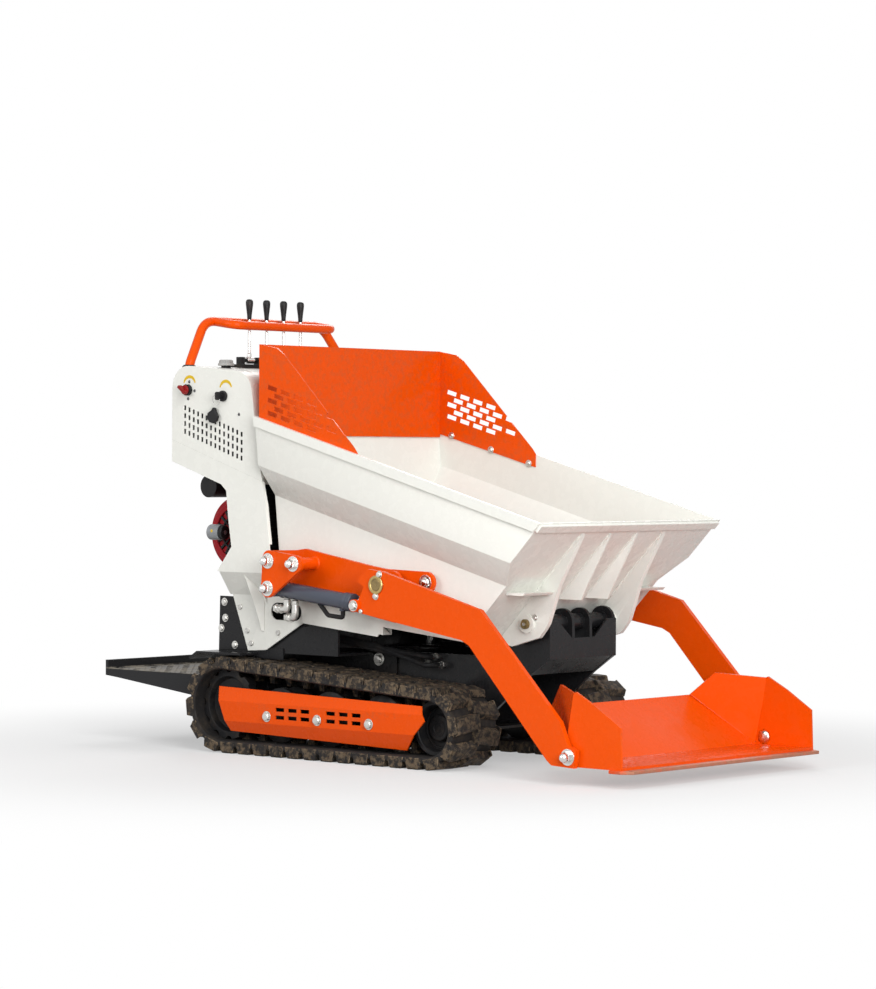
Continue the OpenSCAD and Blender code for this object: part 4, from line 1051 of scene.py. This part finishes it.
def chassis_details():
    """Side plate with its big nut, hose fittings and hoses under the skip."""
    plate = bmesh.new()
    steel = bmesh.new()
    lines = bmesh.new()
    thick = 8.0
    for side in SIDES:
        side_plate(plate, MOTOR_PLATE, FRAME_Y, thick, side)
        nut = facing(-82.0, (FRAME_Y + thick) * side, 304.0, side)
        washer(steel, nut, 21.0, 13.0, 0.0, 3.0)
        hex_head(steel, nut, 13.0, 1.0, 11.0)
        for x, z in SIDE_PORTS:
            port = facing(x, FRAME_Y * side, z, side)
            rod(steel, port, 11.0, 0.0, 9.0, 6)
            rod(steel, port, 8.6, 9.0, 24.0, 24)
            path = [(x, 180.0 * side, z), (x, 204.0 * side, z), (x - 30.0, 212.0 * side, z + 34.0 - 0.2 * x),
                    (x - 220.0, 226.0 * side, 340.0 + 0.06 * x), (BULKHEAD_X, 232.0 * side, 352.0 + 0.2 * x)]
            tube(lines, rounded_path(path, 22.0, 8), 8.0, 16)
    new_piece("side_plates", plate, "chassis", "chassis_black", bevel=1.5)
    new_piece("side_fittings", steel, "chassis", "zinc_steel", bevel=0.5)
    new_piece("side_hoses", lines, "chassis", "hose_rubber")
    # The black sheet made here is painted shade behind the oval hole; the feet are plates under the brackets
    shade_sheet = bmesh.new()
    feet = bmesh.new()
    for side in SIDES:
        side_plate(shade_sheet, SHADE_SHEET_OUTLINE, 291.0, 3.0, side)
        side_plate(feet, BRACKET_FOOT, 337.0, 6.0, side)
    new_piece("shade_sheets", shade_sheet, "chassis", "chassis_black", bevel=0.8)
    new_piece("bracket_feet", feet, "chassis", "chassis_black", bevel=0.8)


def cooler_cores():
    """Finned oil cooler behind the skip, one core inside each column."""
    shape = bmesh.new()
    place = Matrix.Identity(4)
    fins, pitch, thick = 24, 12.0, 3.5

    def slab(x0, x1, y0, y1, low, high):
        prism(shape, [(x0, y0), (x1, y0), (x1, y1), (x0, y1)], low, high, place)

    for side in SIDES:
        slab(-438.0, -422.0, 266.0 * side, 396.0 * side, 596.0, 880.0)
        for k in range(fins):
            low = 600.0 + pitch * k
            slab(-446.0, -414.0, 270.0 * side, 390.0 * side, low, low + thick)
    new_piece("cooler_cores", shape, "chassis", "dark_iron", bevel=0.4)


def starter_details():
    """Dark socket and yellow dot on the starter motor."""
    black = bmesh.new()
    ring = Matrix.Translation((-614.0, -327.0, 692.0)) @ Matrix.Rotation(math.radians(90.0), 4, "Y")
    lathe(black, [(15.2, 0.0), (21.0, 0.0), (22.0, 1.0), (22.0, 12.0), (20.0, 14.0), (8.0, 14.0), (8.0, 6.0),
                  (15.2, 6.0)], ring)
    new_piece("starter_socket", black, "chassis", "black_plastic")
    dot = bmesh.new()
    button_head(dot, facing(-638.0, -351.2, 696.0, -1), 5.0, 2.0)
    new_piece("starter_dot", dot, "chassis", "engine_aluminium", DECAL)


cylinder_details()
welds()
recoil_grille()
platform_tread()
column_fins()
chassis_details()
cooler_cores()
starter_details()


# Floor, light and background

def seen_rays(tree):
    """1 for what the camera sees straight, in metal or through glass, and 0 for light on the object."""
    light_path = tree.nodes.new("ShaderNodeLightPath")
    seen = light_path.outputs["Is Camera Ray"]
    for other in ("Is Glossy Ray", "Is Transmission Ray"):
        either = tree.nodes.new("ShaderNodeMath")
        either.operation = "MAXIMUM"
        tree.links.new(seen, either.inputs[0])
        tree.links.new(light_path.outputs[other], either.inputs[1])
        seen = either.outputs[0]
    return seen


def floor_material():
    """Pale floor that keeps the shadow near the object and fades into the white background."""
    material = bpy.data.materials.new("pale_floor")
    material.use_nodes = True
    tree = material.node_tree
    tree.nodes.clear()

    def coloured(kind, colour):
        node = tree.nodes.new(kind)
        node.inputs["Color"].default_value = colour
        return node.outputs[0]

    def blend(amount, first, second):
        node = tree.nodes.new("ShaderNodeMixShader")
        for socket, output in zip(node.inputs, (amount, first, second)):
            tree.links.new(output, socket)
        return node.outputs[0]

    lit = coloured("ShaderNodeBsdfDiffuse", (0.72, 0.72, 0.72, 1.0))
    dim = coloured("ShaderNodeBsdfDiffuse", (0.42, 0.41, 0.40, 1.0))
    glow = coloured("ShaderNodeEmission", WHITE)
    coords = tree.nodes.new("ShaderNodeTexCoord")
    reach = tree.nodes.new("ShaderNodeVectorMath")
    reach.operation = "LENGTH"
    tree.links.new(coords.outputs["Object"], reach.inputs[0])
    fade = tree.nodes.new("ShaderNodeMapRange")
    fade.interpolation_type = "SMOOTHSTEP"
    for name, value in (("From Min", 0.9), ("From Max", 2.6), ("To Min", 0.40), ("To Max", 1.0)):
        fade.inputs[name].default_value = value
    tree.links.new(reach.outputs["Value"], fade.inputs["Value"])
    seen = blend(fade.outputs["Result"], lit, glow)
    out = tree.nodes.new("ShaderNodeOutputMaterial")
    tree.links.new(blend(seen_rays(tree), dim, seen), out.inputs["Surface"])
    return material


def make_floor():
    shape = bmesh.new()
    bmesh.ops.create_grid(shape, x_segments=8, y_segments=8, size=30.0)
    mesh = bpy.data.meshes.new("floor")
    shape.to_mesh(mesh)
    shape.free()
    mesh.materials.append(floor_material())
    floor = bpy.data.objects.new("floor", mesh)
    scene.collection.objects.link(floor)


def make_world():
    world = bpy.data.worlds.new("studio")
    scene.world = world
    world.use_nodes = True
    tree = world.node_tree
    back = tree.nodes["Background"]
    strength = tree.nodes.new("ShaderNodeMapRange")
    strength.inputs["To Min"].default_value = 0.35
    strength.inputs["To Max"].default_value = 1.0
    tree.links.new(seen_rays(tree), strength.inputs["Value"])
    back.inputs["Color"].default_value = WHITE
    tree.links.new(strength.outputs["Result"], back.inputs["Strength"])


def area_light(name, place, target, size, power):
    data = bpy.data.lights.new(name, "AREA")
    data.shape = "RECTANGLE"
    data.size, data.size_y = size
    data.energy = power
    lamp = bpy.data.objects.new(name, data)
    lamp.location = place
    lamp.rotation_euler = (Vector(target) - Vector(place)).to_track_quat("-Z", "Y").to_euler()
    scene.collection.objects.link(lamp)


make_floor()
make_world()
area_light("key", (4.6, -3.2, 5.2), (0.0, 0.0, 0.5), (3.2, 3.2), 215.0)
area_light("front", (5.5, -3.5, 1.7), (0.2, 0.0, 0.6), (3.0, 2.0), 250.0)
area_light("side", (-1.5, -6.0, 3.0), (-0.1, 0.0, 0.6), (4.0, 2.4), 145.0)
area_light("back", (-3.0, 4.5, 4.6), (0.0, 0.0, 0.7), (3.6, 2.6), 150.0)
